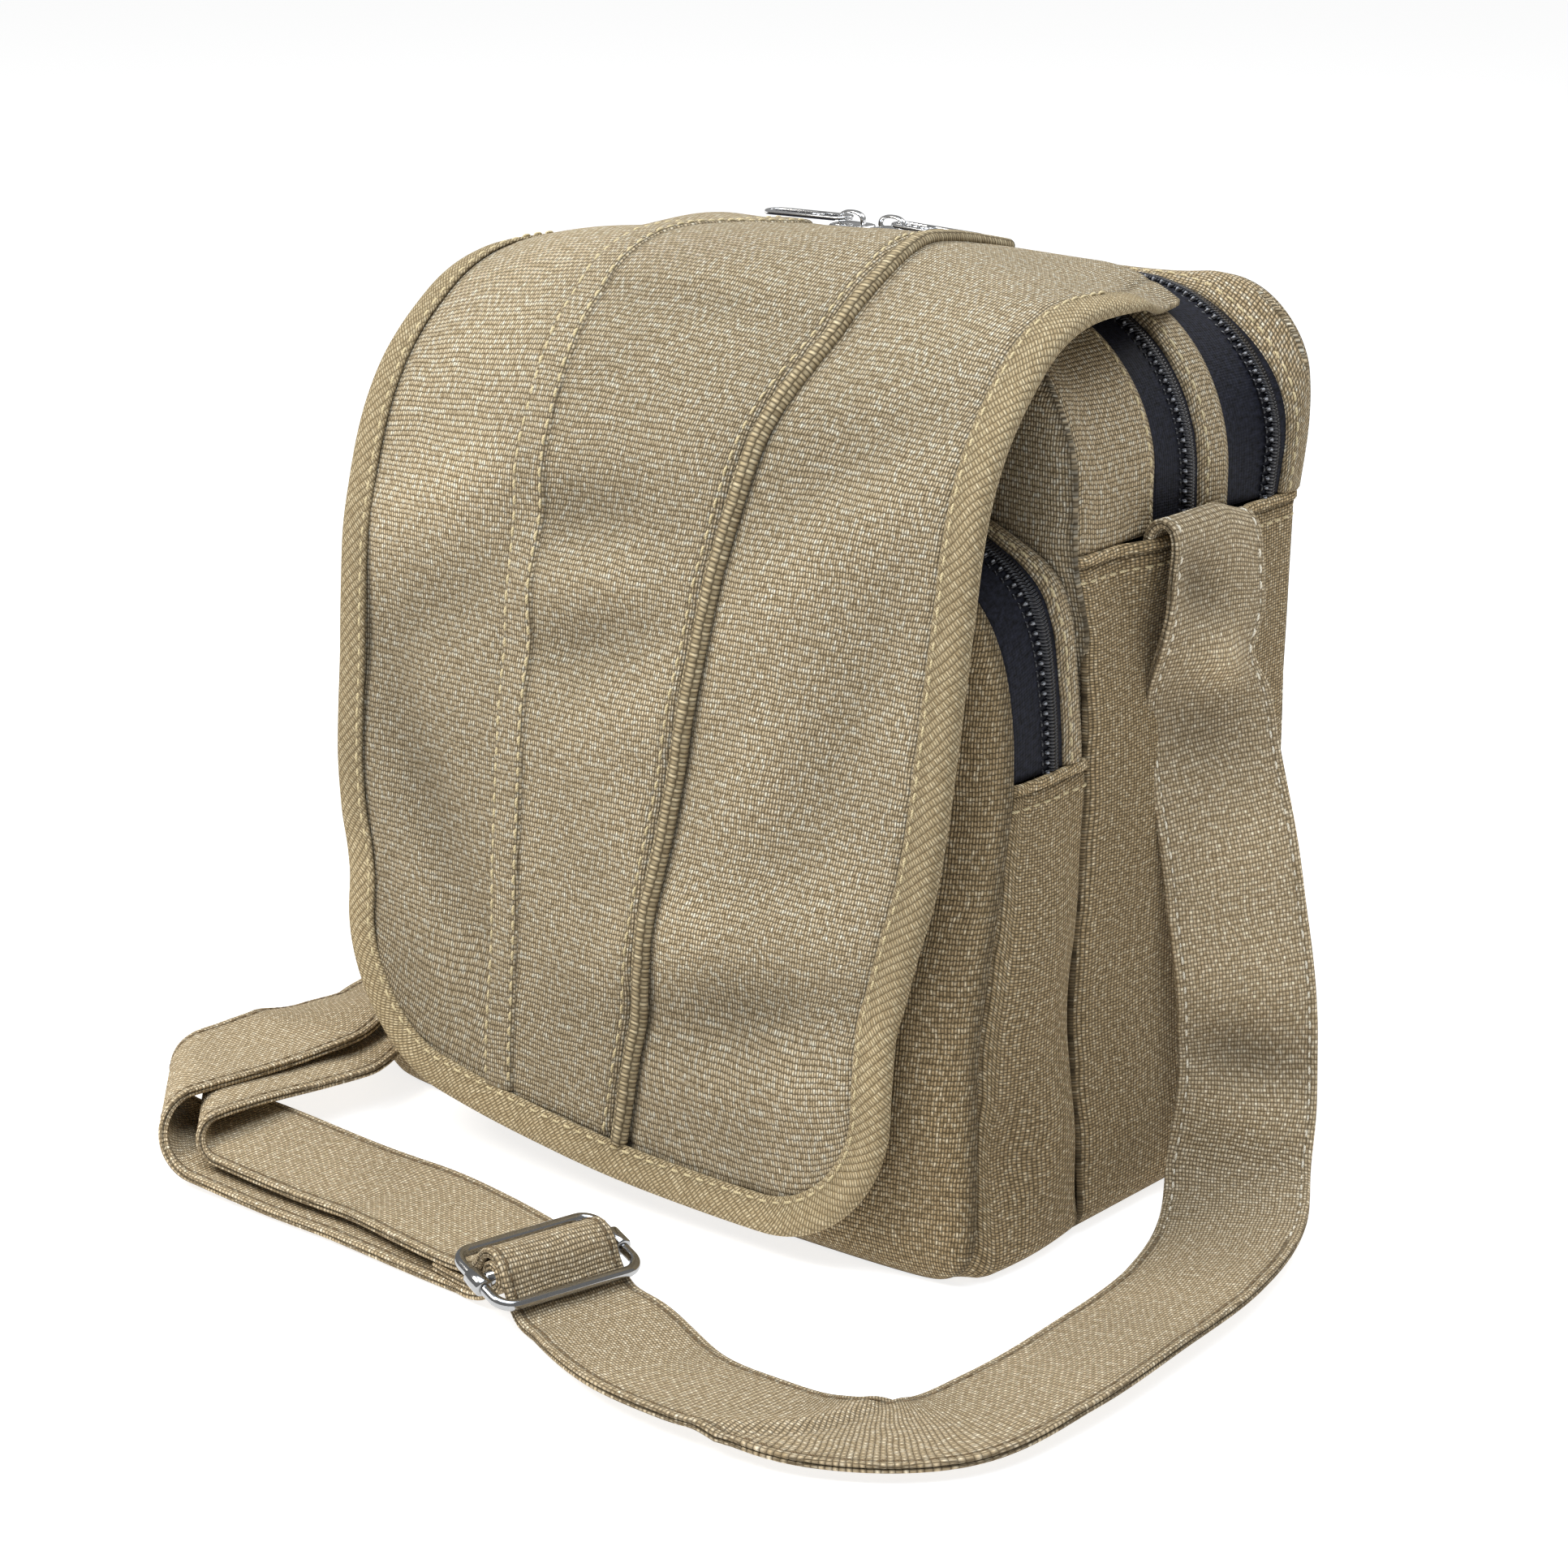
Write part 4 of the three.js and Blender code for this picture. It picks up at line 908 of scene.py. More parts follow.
def arch_grid(shares, count=161):
    """The arch over the pocket: rows at shares of the way from the body to the pocket's front edge."""
    rear, front = arch_line(ARCH_REAR, count), arch_line(ARCH_FRONT, count)
    share = np.asarray(shares, float)[:, None]
    x = rear[None, :, 0] + (front[None, :, 0] - rear[None, :, 0]) * share
    z = rear[None, :, 2] + (front[None, :, 2] - rear[None, :, 2]) * share + GAP
    pushed = seam_shift(rear[None, :, 2]) * smooth((np.abs(rear[None, :, 0]) - 60) / 40)
    y = -GAP + (pocket_edge(front[None, :, 2]) + GAP) * share + pushed * (1 - share)
    return np.stack(np.broadcast_arrays(x, y, z), -1)


arch = arch_grid(np.linspace(POCKET_ZIP_SHARE, 0.015, 8))
arch_up = across_depth(arch)
lip = np.linspace(0, 1, 8)[:, None]
arch = arch - arch_up * (0.2 + 1.1 * bump(lip / 0.2) + 1.2 * bump((1 - lip) / 0.2))[..., None]
# Painted shade along both edges of the arch
arch_painted_shade = np.repeat(1 - 0.3 * bump(lip / 0.12) - 0.4 * bump((1 - lip) / 0.12), arch.shape[1], 1)
cloth("pocket_top_band", arch, CANVAS, shaded_band_canvas, arch_painted_shade, nodes=["pocket_top_band"], slot="canvas")
body_runs.append(stitched(arch[2], arch_up[2], FINE_PITCH, radius=0.38))
tape = arch_grid(np.linspace(0.94, POCKET_ZIP_SHARE - 0.03, 10))
tape_up = across_depth(tape)
cloth("pocket_zip_tape", tape - tape_up * POCKET_TAPE_DROP, TAPE_THICK, zip_tape,
      nodes=["pocket_zip_tape"], slot="zip_tape")
chain = arch_grid([POCKET_ZIP_SHARE + past for past in (0.2, 0.175, 0.15)], 321)
chain_up = across_depth(chain)[1]
chain_side = unit(chain[2] - chain[0])
coil("pocket_zip_chain", chain[1] - chain_up * POCKET_TAPE_DROP, chain_up, chain_side,
     nodes=["pocket_zip_chain"], slot="zip_teeth")
print("pocket arch:", arch.shape)

# %% Pocket sides and front
PANEL_RADIUS = 14.0
BAND_SHARES = (np.linspace(0, 0.14, 13), np.linspace(0.17, 0.88, 18), np.linspace(0.91, 1, 9))


def matched(line, like):
    """A route with its steps spaced like those of another."""
    run, goal = run_along(line), run_along(like)
    return walked(line, run, goal * run[-1] / goal[-1])


pocket_low = finer_ends(low_outline(POCKET_HEM_Z, POCKET_RADIUS, POCKET_LIFT, step=2.5), HEM_STEPS)[::-1]
pocket_seam = matched(low_outline(POCKET_HEM_Z, PANEL_RADIUS, POCKET_LIFT, step=1.0)[::-1], pocket_low)
share = np.concatenate(BAND_SHARES)[:, None]
edge_y = pocket_edge(pocket_seam[:, 2]) + foot_tuck(pocket_seam[:, 0], pocket_seam[:, 2]) + CANVAS - 0.4
px = pocket_seam[None, :, 0] + (pocket_low - pocket_seam)[None, :, 0] * smooth(share / 0.16)
pz = pocket_seam[None, :, 2] + (pocket_low - pocket_seam)[None, :, 2] * smooth(share / 0.16)
py = edge_y + (seam_shift(pz) + 1.4 - edge_y) * share
side_in = np.sign(px) * smooth(pz / 16)
puff = 4.2 * np.sin(math.pi * share) * np.sin(math.pi * np.clip(pz / POCKET_HEM_Z, 0, 1))
tuck = 3.2 * bump((pz - 34) / 16) * bump((share - 0.25) / 0.22) * (px > 0)
seam_dip = 1.1 * bump(share / 0.035) + 1.4 * bump((1 - share) / 0.045)
settled = (4.0 + 2.0 * np.sin(math.pi * share)) * sitting(pz) * smooth(np.abs(px) / 100)
px = px + np.sign(px) * settled + side_in * (puff - seam_dip - tuck)
px = px + 2.6 * bump((pz - 60) / 45) * smooth((0.5 - share) / 0.5) * (px < 0)
pocket_band = np.stack([px, py, pz], -1)
lip_out, lip_painted_light = hem_lip(pz, POCKET_HEM_Z)
pocket_band[..., 0] += side_in * (waves(pocket_band, 26, 2.2, 2.2) + lip_out)
# Painted shade: darker into both seams and near the floor, plus the hem's painted highlight and shade line
band_painted_light = 1 - 0.45 * bump(share / 0.022) - 0.45 * bump((1 - share) / 0.022) - 0.2 * bump(pz / 5) + lip_painted_light
cloth("pocket_band", pocket_band, CANVAS, shaded_side_canvas, band_painted_light, normals=upright_way(pocket_band),
      nodes=["pocket_band"], slot="canvas")

arch_high = arch_line(ARCH_FRONT, 801)
rising = arch_high[: len(arch_high) // 2 + 1]
foot_z = POCKET_LIFT + (PANEL_RADIUS - POCKET_LIFT) * (1 - np.cos(np.linspace(0, math.pi / 2, 16)))[:-1]
arch_z = 208.6 - 32.6 * np.linspace(1, 0, 18) ** 1.7
rows_z = np.concatenate([foot_z, np.arange(PANEL_RADIUS, 176, 3.2), arch_z])
half = np.interp(rows_z, rising[:, 2], rising[:, 0])
foot = np.clip(1 - (rows_z - POCKET_LIFT) / (PANEL_RADIUS - POCKET_LIFT), 0, 1)
half = np.where(rows_z < POCKET_HEM_Z, HALF_WIDTH - PANEL_RADIUS * (1 - np.sqrt(1 - foot**2)), half)
u = np.sin(np.linspace(math.pi / 2, -math.pi / 2, 71))[None]
gx = u * half[:, None]
gz = np.repeat(rows_z[:, None], u.shape[1], 1)
swell = read(POCKET_SWELL, gz)[..., 0] * np.sqrt(1 - u**4)
gx = gx * (1 + 0.035 * sitting(gz)) + 2.6 * bump((gz - 60) / 45) * smooth((-u - 0.7) / 0.3)
pocket_front = np.stack([gx, pocket_edge(gz) + foot_tuck(gx, gz) - swell, gz], -1)
rim = np.minimum(half[:, None] * (1 - np.abs(u)), gz - POCKET_LIFT)
pocket_front[..., 1] += 0.8 * bump(rim / 1.3) - waves(pocket_front, 42, 1.6, 9.4) * smooth(rim / 10)
# Painted shade along the pocket front's seam
cloth("pocket_panel", pocket_front, CANVAS, shaded_canvas, 1 - 0.5 * bump(rim / 1.0),
      nodes=["pocket_panel"], slot="canvas")
print("pocket front:", pocket_front.shape)

# %% [markdown]
# The flap is the face of the bag: three panels joined by two long seams, hung from the top and falling over
# the pocket. It is drawn as a line seen from the side, a width at each place along it, and a crown that
# lets its edges hang lower. Shallow folds are pressed into it where it bends over the pocket's shoulder.

# %% Flap surface
FLAP_THICK, FLAP_CORNER, FLAP_LENGTH, FLAP_TILT = 2.4, 38.0, 340.2, 0.08
LEFT_CORNER, RIGHT_CORNER = 100.0, 97.0
# The flap's line from the side: depth, height
FLAP_LINE = [(73, 251.2), (60, 253.8), (40, 257.5), (20, 260), (4, 259.2), (-10, 254), (-21, 245),
             (-31, 232.5), (-39, 217), (-44.5, 200), (-48.5, 180), (-53, 148), (-57.5, 102), (-61.5, 55),
             (-65.5, 3)]
# At each place along the line: how far its edges reach to the left and the right, and where its seams lie
FLAP_SIDES = [(0, 90, 92), (15, 94, 97), (35, 98.5, 105), (52, 101.5, 108), (100, 105, 110), (130, 106, 111),
              (156, 107, 111), (200, 108, 110), (240, 107, 106.5), (260, 104.6, 101.8), (272, 101.4, 99),
              (281, 100, 97), (290, 100, 97), (400, 100, 97)]
FLAP_SEAMS = [(0, -40, 36), (20, -40, 37), (50, -40, 42), (75, -40, 46), (100, -39.5, 44), (130, -39, 37),
              (170, -38.5, 31), (220, -38, 24), (270, -37.5, 16.5), (340, -37, 8)]
flap_path = through([(0, y, z) for y, z in FLAP_LINE], 40)
flap_run = run_along(flap_path)

# Folds in the flap: middle across, middle along, half width, half length, turn, height
FLAP_FOLDS = [
    (48, 286, 9, 44, 1.3, -2.4),
    (40, 264, 12, 46, 1.25, 1.8),
    (58, 306, 9, 34, 1.35, 1.2),
    (-20, 160, 8, 26, 1.45, -1.8),
    (-10, 177, 9, 30, 1.4, 1.4),
    (-16, 195, 8, 30, 1.3, -1.8),
    (0, 214, 11, 32, 1.2, 1.4),
    (0, 96, 6, 40, 1.57, -1.0),
    (-75, 163, 12, 38, 1.1, 1.8),
    (-68, 192, 12, 40, 1.0, -1.9),
    (-72, 250, 11, 46, -0.5, -1.8),
    (-62, 285, 11, 30, -0.6, 1.2),
    (70, 128, 14, 44, 0.9, -1.6),
    (60, 162, 14, 44, 0.8, 1.4),
    (74, 205, 13, 50, 0.35, -1.8),
    (45, 228, 12, 44, 0.6, 1.2),
    (10, 250, 12, 36, -0.7, 1.0),
]


def left_edge(s):
    return -read(FLAP_SIDES, s)[..., 0]


def right_edge(s):
    return read(FLAP_SIDES, s)[..., 1]


def left_seam(s):
    return read(FLAP_SEAMS, s)[..., 0]


def right_seam(s):
    return read(FLAP_SEAMS, s)[..., 1]


def flap_reach(x):
    """How far down the flap reaches at a place across it."""
    edge = np.where(x < 0, LEFT_CORNER, RIGHT_CORNER)
    past = np.clip(np.abs(x) - edge + FLAP_CORNER, 0, FLAP_CORNER)
    corner = FLAP_CORNER - np.sqrt(FLAP_CORNER**2 - past**2)
    return FLAP_LENGTH + FLAP_TILT * x - 3 * (x / 66) ** 2 - corner


def flap_plain(x, s):
    """The flap's middle surface with no folds."""
    x, s = np.broadcast_arrays(np.asarray(x, float), np.asarray(s, float))
    y0 = np.interp(s, flap_run, flap_path[:, 1])
    z0 = np.interp(s, flap_run, flap_path[:, 2])
    across = (x / 108) ** 2
    top = 1 - smooth((s - 85) / 90)
    crown = np.where(x < 0, 15.5, 8.5) * across * top
    past = np.maximum(0, np.abs(x) - (HALF_WIDTH - BAND_RADIUS))
    hinge = (BAND_RADIUS - np.sqrt(np.maximum(0, BAND_RADIUS**2 - past**2))) * np.where(x > 0, 0.9, 1.0)
    loose = smooth(s / 38)
    dent = 4.5 * bump((x - 40) / 34) * bump((s - 92) / 30)
    crest = 3.0 * bump((x - 34) / 26) * bump((s - 42) / 32) - 1.2 * bump((x + 42) / 30) * bump((s - 50) / 36)
    forward = y0 + 3 * across * (1 - top) + dent * 0.7
    height = z0 - hinge * (1 - loose) - crown * loose - dent * 0.7 + crest
    return np.stack([x, forward, height], -1)


def flap_up(x, s):
    """The way the flap faces."""
    along = flap_plain(x, s + 1) - flap_plain(x, s - 1)
    over = flap_plain(x + 1, s) - flap_plain(x - 1, s)
    return -unit(np.cross(over, along))


def flap_fold(x, s):
    """How far folds and low waves move the flap outward."""
    height = np.zeros(np.broadcast(x, s).shape)
    for fx, fs, wide, long, turn, high in FLAP_FOLDS:
        a = (x - fx) * math.cos(turn) + (s - fs) * math.sin(turn)
        b = (s - fs) * math.cos(turn) - (x - fx) * math.sin(turn)
        height = height + 1.2 * high * bump(a / wide) * bump(b / long)
    spots = np.stack(np.broadcast_arrays(x, s, 0 * s), -1)
    return height * smooth(s / 60) + waves(spots, 38, 0.9, 4.6) * smooth(s / 50)


def flap_point(x, s):
    return flap_plain(x, s) + flap_up(x, s) * flap_fold(x, s)[..., None]


middle_reach = float(flap_reach(np.array(0.0)))
print("flap line is", round(float(flap_run[-1])), "mm long; it reaches", middle_reach, "mm")

# %% Flap panels
TAIL_START = 285.0
FLAP_ROWS = np.concatenate([np.arange(0, TAIL_START, 2.6), [TAIL_START]])
FLAP_TAIL = np.linspace(0, 1, 24)[1:]


def flap_places(left, right, shares):
    """Across and along for a panel between two lines, down to the round lower edge."""
    ends = flap_reach(left(FLAP_LENGTH) + (right(FLAP_LENGTH) - left(FLAP_LENGTH)) * shares)
    s = np.concatenate([np.repeat(FLAP_ROWS[:, None], len(shares), 1),
                        TAIL_START + (ends - TAIL_START)[None] * FLAP_TAIL[:, None]])
    x = left(s) + (right(s) - left(s)) * shares[None]
    return x, s


def flap_panel(name, left, right, shares):
    """One panel between two lines, with painted shade in its seams, folds and bound edge, and painted light
    low down.
    """
    x, s = flap_places(left, right, shares)
    n = flap_up(x, s)
    to_cord = np.abs(x - right_seam(s))
    to_lap = np.abs(x - left_seam(s))
    to_edge = np.minimum(np.minimum(x - left_edge(s), right_edge(s) - x), flap_reach(x) - s)
    sunk = 0.9 * bump((to_cord - 3.6) / 1.3) + 0.5 * bump((to_edge - 9.6) / 1.4)
    fold_shade_line = 0.35 * bump((x - right_seam(s) + 6.9) / 0.6)
    # Painted shade: dark lines beside the cord, inside the binding, beside the lap and along a fold, and in
    # the folds
    painted_light = 1 - 0.72 * bump((to_cord - 3.4) / 1.1) - 0.3 * bump((to_edge - 9.6) / 1.0)
    painted_light = painted_light - 0.34 * bump((to_lap - 5.6) / 0.8)
    painted_light = (painted_light - fold_shade_line) * (1 + 0.1 * flap_fold(x, s))
    # Painted light and shade: the left side paler high up and darker low down, the lower right paler
    low = smooth((s - 170) / 80)
    painted_light = painted_light * (1 + smooth((-x - 30) / 30) * (0.12 - 0.24 * low) + 0.1 * smooth((x - 40) / 30) * low)
    grid = flap_point(x, s) + n * (FLAP_THICK / 2 - sunk)[..., None]
    return cloth(name, grid, FLAP_THICK, canvas, painted_light, nodes=[name], slot="canvas")


def beside(line, gap):
    """A line a little to one side of another."""
    return lambda s: line(s) + gap


SEAM_GAP = 0.1
near_right = np.sin(np.linspace(0, math.pi / 2, 46))
near_left = 1 - near_right[::-1]
flap_parts = [
    flap_panel("flap_left", left_edge, beside(left_seam, -SEAM_GAP), near_left),
    flap_panel("flap_centre", beside(left_seam, SEAM_GAP), beside(right_seam, -SEAM_GAP),
               np.linspace(0, 1, 62)),
    flap_panel("flap_right", beside(right_seam, SEAM_GAP), right_edge, near_right),
]
print("flap panels:", [len(p.data.polygons) for p in flap_parts])

# %% [markdown]
# The left seam is lapped: one cloth's edge is folded under and sewn down with two rows of thread. The right
# seam has a cord in it, so it stands up as a round ridge with a painted shade line on each side. The free
# edge is bound with a slanting tape folded over it.

# %% Flap seams and binding
def along_flap(x_of, start, end, count=150):
    """A line on the flap: its points and the way the cloth faces."""
    s = np.linspace(start, end, count)
    x = x_of(s)
    return flap_point(x, s), flap_up(x, s)


LAP_ROWS, LAP_COLUMNS, LAP_HALF, LAP_STITCH = 140, 11, 5.2, 4.3
low_lap = float(flap_reach(left_seam(FLAP_LENGTH))) - 9.2
lap_over = np.linspace(-LAP_HALF, LAP_HALF, LAP_COLUMNS)
lap_s = np.linspace(2, low_lap, LAP_ROWS)[:, None]
lap_x = left_seam(lap_s[:, 0])[:, None] + lap_over[None]
lap_s = np.repeat(lap_s, LAP_COLUMNS, 1)
crown = 0.65 * (1 - (np.abs(np.linspace(-1, 1, LAP_COLUMNS)) ** 6))[None]
lap = flap_point(lap_x, lap_s) + flap_up(lap_x, lap_s) * (FLAP_THICK / 2 + 0.35 + crown)[..., None]
# Painted shade in the dips along the lap's stitch rows
lap_dip_shade = 0.25 * bump((np.abs(lap_over) - LAP_STITCH) / 0.7)
lap_strip = cloth("flap_lap", lap, 0.9, canvas, np.tile(1.02 - lap_dip_shade, (LAP_ROWS, 1)), slot="canvas")

low_cord = float(flap_reach(right_seam(FLAP_LENGTH))) - 9.0
cord_at, cord_up = along_flap(right_seam, 3, low_cord, 200)
cord_along = unit(np.gradient(cord_at, axis=0))
cord_side = unit(np.cross(cord_along, cord_up))
turn = np.linspace(0, math.pi, 11)
cord_profile = [(2.75 * math.cos(a), 2.5 * math.sin(a) ** 0.8) for a in turn]
cord_profile += [(-2.2, -0.6), (2.2, -0.6)]
verts, faces, flat = carried(cord_at + cord_up * (FLAP_THICK / 2 - 0.3), cord_side, cord_up, cord_profile)
cord_ridge = piece("flap_cord", verts, outward(verts, faces), piping, flat,
                   nodes=["flap_cord"], slot="edging")


def flap_border():
    """The free edge, from the right end of its seam round to the left end: across and along."""
    start, step = 1.5, 2.0
    s_right = np.arange(start, float(flap_reach(np.array(RIGHT_CORNER))), step)
    s_left = np.arange(start, float(flap_reach(np.array(-LEFT_CORNER))), step)[::-1]
    turn_in = FLAP_CORNER * (1 - np.cos(np.linspace(0, math.pi / 2, 30)))
    straight = np.linspace(RIGHT_CORNER - FLAP_CORNER - 1, FLAP_CORNER + 1 - LEFT_CORNER, 60)
    x_low = np.concatenate([RIGHT_CORNER - turn_in, straight, turn_in[::-1] - LEFT_CORNER])
    x = np.concatenate([right_edge(s_right), x_low, left_edge(s_left)])
    s = np.concatenate([s_right, flap_reach(x_low), s_left])
    return x, s


border_x, border_s = flap_border()
border = flap_point(border_x, border_s)
border, border_n = spread(border, 420, flap_up(border_x, border_s))
border_n = unit(border_n)
border_along = unit(np.gradient(border, axis=0))
border_out = unit(np.cross(border_n, border_along))
# Half of the tape's section: how far in from the edge, how high, and its painted shade
BINDING_HALF = [
    (-9.2, 1.25, 0.75), (-9.25, 1.75, 0.8), (-8.8, 2.15, 0.9), (-7.6, 2.2, 0.86), (-6.6, 2.3, 0.9),
    (-4, 2.55, 1), (-1.5, 2.5, 1), (0.4, 2.2, 1), (1.6, 1.45, 1), (2.1, 0.5, 1),
]
binding_profile = [(p, q) for p, q, _ in BINDING_HALF] + [(p, -q) for p, q, _ in BINDING_HALF[::-1]]
binding_profile += [(0.7, -1.25), (0.7, 1.25)]
along_edge = run_along(border)
from_end = np.minimum(along_edge, along_edge[-1] - along_edge)[:, None]
fat = 0.3 + 0.7 * smooth((from_end - 8) / 70)
wide = 0.3 + 0.7 * smooth((from_end - 4) / 40)
shape = np.array(binding_profile)
rows = border[:, None] + border_out[:, None] * (shape[None, :, :1] * wide[..., None])
rows = rows + border_n[:, None] * (shape[None, :, 1:] * fat[..., None])
flat = carried(border, border_out, border_n, binding_profile)[2]
verts, faces, flat = tube_mesh(rows, flat)
half_painted_shade = [painted_light for *_, painted_light in BINDING_HALF]
binding_painted_light = np.tile(half_painted_shade + half_painted_shade[::-1] + [0.6, 0.6], len(border))
# Painted light: the tape is painted paler low down on the flap.
hung = np.interp(border[:, 2], flap_path[::-1, 2], flap_run[::-1])
painted_light_low = 1 + 0.3 * smooth((hung - (flap_run[-1] - 105)) / 60)
binding_painted_light = binding_painted_light * np.repeat(painted_light_low, len(shape))
binding = piece("flap_binding", verts, faces, edging, flat, binding_painted_light,
                nodes=["flap_binding"], slot="edging")
print("binding runs", round(float(along_edge[-1])), "mm")

# %% Flap stitching
flap_runs = []
for shift in (-LAP_STITCH, LAP_STITCH):
    at, n = along_flap(beside(left_seam, shift), 4, low_lap - 2)
    flap_runs.append(stitched(at + n * (FLAP_THICK / 2 + 0.75), n, PITCH, radius=0.45))
at, n = along_flap(beside(right_seam, -6.2), 4, low_cord - 1)
flap_runs.append(stitched(at + n * FLAP_THICK / 2, n, PITCH, radius=0.42))
for face in (1, -1):
    inner = (border - border_out * 7.6 + border_n * face * 2.1)[24:-24]
    flap_runs.append(stitched(inner, border_n[24:-24] * face, PITCH, radius=0.42))
flap_thread = sew("flap_thread", flap_runs, tan_thread, slot="edging")

# %% [markdown]
# The strap is one long tube of canvas pressed flat. It starts behind the right hem, folds over it, drops to
# the floor, runs past the front to the slider, goes on doubled to a diagonal fold at the left and up to a
# ring. Most of it is a list of places, each with the way across the strap, so that it can lean and turn. At
# the fold each of the two layers is rolled like paper round a slanting pencil, the upper one tighter than
# the lower.

# %% Strap route
STRAP_WIDTH, STRAP_THICK, WIRE = 40.0, 2.4, 3.6
RING_X, RING_Y, RING_BAR_Z = -120.8, 52.5, 142
# The strap's middle line on the right: place, then the way across it
STRAP_RIGHT = [
    (114.9, 47, 184, 0, 1, 0), (115.0, 47, 189, 0, 1, 0), (116.6, 47, 193.4, 0, 1, 0),
    (119.8, 47, 195.2, 0, 1, 0), (123.2, 47, 193.6, 0, 1, 0), (125.0, 47, 188.5, 0, 1, 0),
    (125.0, 47, 173, 0.08, 1, 0), (122, 49.5, 141, 0.42, 0.9, 0), (129.6, 53.6, 88, 0.58, 0.8, -0.12),
    (136, 54, 41, 0.66, 0.74, -0.12), (139.5, 45.5, 13, 0.76, 0.64, -0.06),
    (150, 27, 5.0, 0.92, 0.4, 0.06), (162, -9, 4.2, 1, 0.06, 0.14), (166.5, -52, 4.4, 1, -0.05, 0.15),
    (167.5, -90, 4.2, 0.99, -0.12, 0.12), (162, -120, 3.2, 0.86, -0.5, 0.06),
    (140, -137.5, 3.2, 0.5, -0.86, 0.06), (116, -141, 3.8, 0.1, -0.98, 0.12),
    (89, -139.5, 3.6, -0.14, -0.97, 0.1),
]
# On the left, before the ring: place, the way across, and the gap between its two layers
STRAP_LEFT = [
    (-139, -8, 9.0, 0.97, 0, 0.22, 1.9), (-146, 22, 4.6, 0.95, -0.3, 0, 1.6),
    (-138.5, 47, 14, 0.64, -0.76, 0.1, 1.6), (-130, 56, 42, 0.42, -0.9, 0.1, 1.6),
    (-124.5, 54, 88, 0.2, -0.98, 0, 1.6), (-121.4, 52.5, 118, 0, -1, 0, 1.8),
    (-120.8, 52.5, 132, 0, -1, 0, 2.4),
]
SLIDER_AT = np.array((34.0, -121.0, 0.0))
SLIDER_ALONG = unit(np.array((-0.97, 0.24, 0.0)))
SLIDER_ACROSS = unit(np.array((-0.24, -0.97, 0.0)))
BAR_Z, SLIDER_SQUEEZE = 11.2, 0.12
# Over the slider's bar, and later round it: how far along the slider, and how high
OVER_BAR = [
    (-24, 2.9), (-18, 3.0), (-13.4, 3.7), (-9.4, 6.6), (-6.6, 10.8), (-4.5, 15.0), (0, 17.6), (4.4, 16.2),
    (6.6, 13.2), (9.4, 10.6), (13.4, 9.0), (19, 8.2),
]
ROUND_BAR = [
    (19, 1.9), (12, 2.1), (6.5, 3.6), (2.2, 6.2), (-0.8, 7.9), (-2.7, 9.3), (-3.3, 11.2), (-2.4, 13.4),
    (0, 14.5), (2.4, 13.4), (3.3, 11.2), (3.8, 9), (6, 6.6), (10, 5.2), (16, 4.8), (27, 4.8),
]
ROLL_AXIS = np.array((-1, 1, 0)) / math.sqrt(2)
ROLL_OUT = np.array((-1, -1, 0)) / math.sqrt(2)
ROLL_START, ROLL_LIFT = -60.0, 1.8
UPPER = dict(at=np.array((-107.0, -108.3, 0.0)), radius=4.0, floor=7.0, end=40.0, settle=0.62)
LOWER = dict(at=np.array((-111.5, -113.4, 0.0)), radius=8.0, floor=2.4, end=62.0, settle=0.22)

# %% Rolled and swept parts of the strap
def rolled(roll, along, across):
    """Places on a layer of the fold: it comes along -x, rolls up and over, and leaves along +y."""
    along, across = np.broadcast_arrays(np.asarray(along, float), np.asarray(across, float))
    radius = roll["radius"]
    p = (along - across) / math.sqrt(2)
    q = (along + across) / math.sqrt(2)
    turn = np.clip(q / (math.pi * radius), 0, 1) * math.pi
    out = np.minimum(0, q) + radius * np.sin(turn) - np.maximum(0, q - math.pi * radius)
    rise = radius * (1 - np.cos(turn)) * (1 - roll["settle"] * smooth(along / 64))
    rise = rise + ROLL_LIFT * smooth((along + 55) / 55)
    flat = roll["at"] + ROLL_AXIS * p[..., None] + ROLL_OUT * out[..., None]
    return flat + np.stack([0 * p, 0 * p, roll["floor"] + rise], -1)


def roll_row(roll, along):
    return rolled(roll, along, 0.0), unit(rolled(roll, along, 1.0) - rolled(roll, along, -1.0))


def rolled_part(roll, way):
    """The fold as a part of the strap; way -1 walks it backwards."""
    along = np.arange(ROLL_START + 1.5, roll["end"] - 1, 1.5)[::way, None]

    def surface(p):
        mid = rolled(roll, along, p[None])
        run = rolled(roll, along + 0.5 * way, p[None]) - rolled(roll, along - 0.5 * way, p[None])
        over = rolled(roll, along, p[None] + 0.5) - rolled(roll, along, p[None] - 0.5)
        return mid, unit(np.cross(run, over))

    return surface


def ribbon(rows, step):
    """A flat route walked at even steps: places, the way across and the way up."""
    route = through([r[0] for r in rows], 16)
    ways = through([r[1] for r in rows], 16)
    length = run_along(route)[-1]
    at, across = spread(route, int(length / step), ways)
    along = unit(np.gradient(at, axis=0))
    across = unit(across - along * np.sum(across * along, 1, keepdims=True))
    return at, across, unit(np.cross(along, across)), length


def swept_part(rows, step=2.2):
    """A stretch of strap along rows of places and ways across."""
    at, across, up, _ = ribbon(rows, step)

    def surface(p):
        mid = at[:, None] + across[:, None] * p[None, :, None]
        return mid, np.repeat(up[:, None], len(p), 1)

    return surface


def at_slider(rows):
    return [(SLIDER_AT + SLIDER_ALONG * e + (0, 0, z), SLIDER_ACROSS) for e, z in rows]


def rows_of(table):
    return [(np.array(r[:3], float), unit(np.array(r[3:6], float))) for r in table]


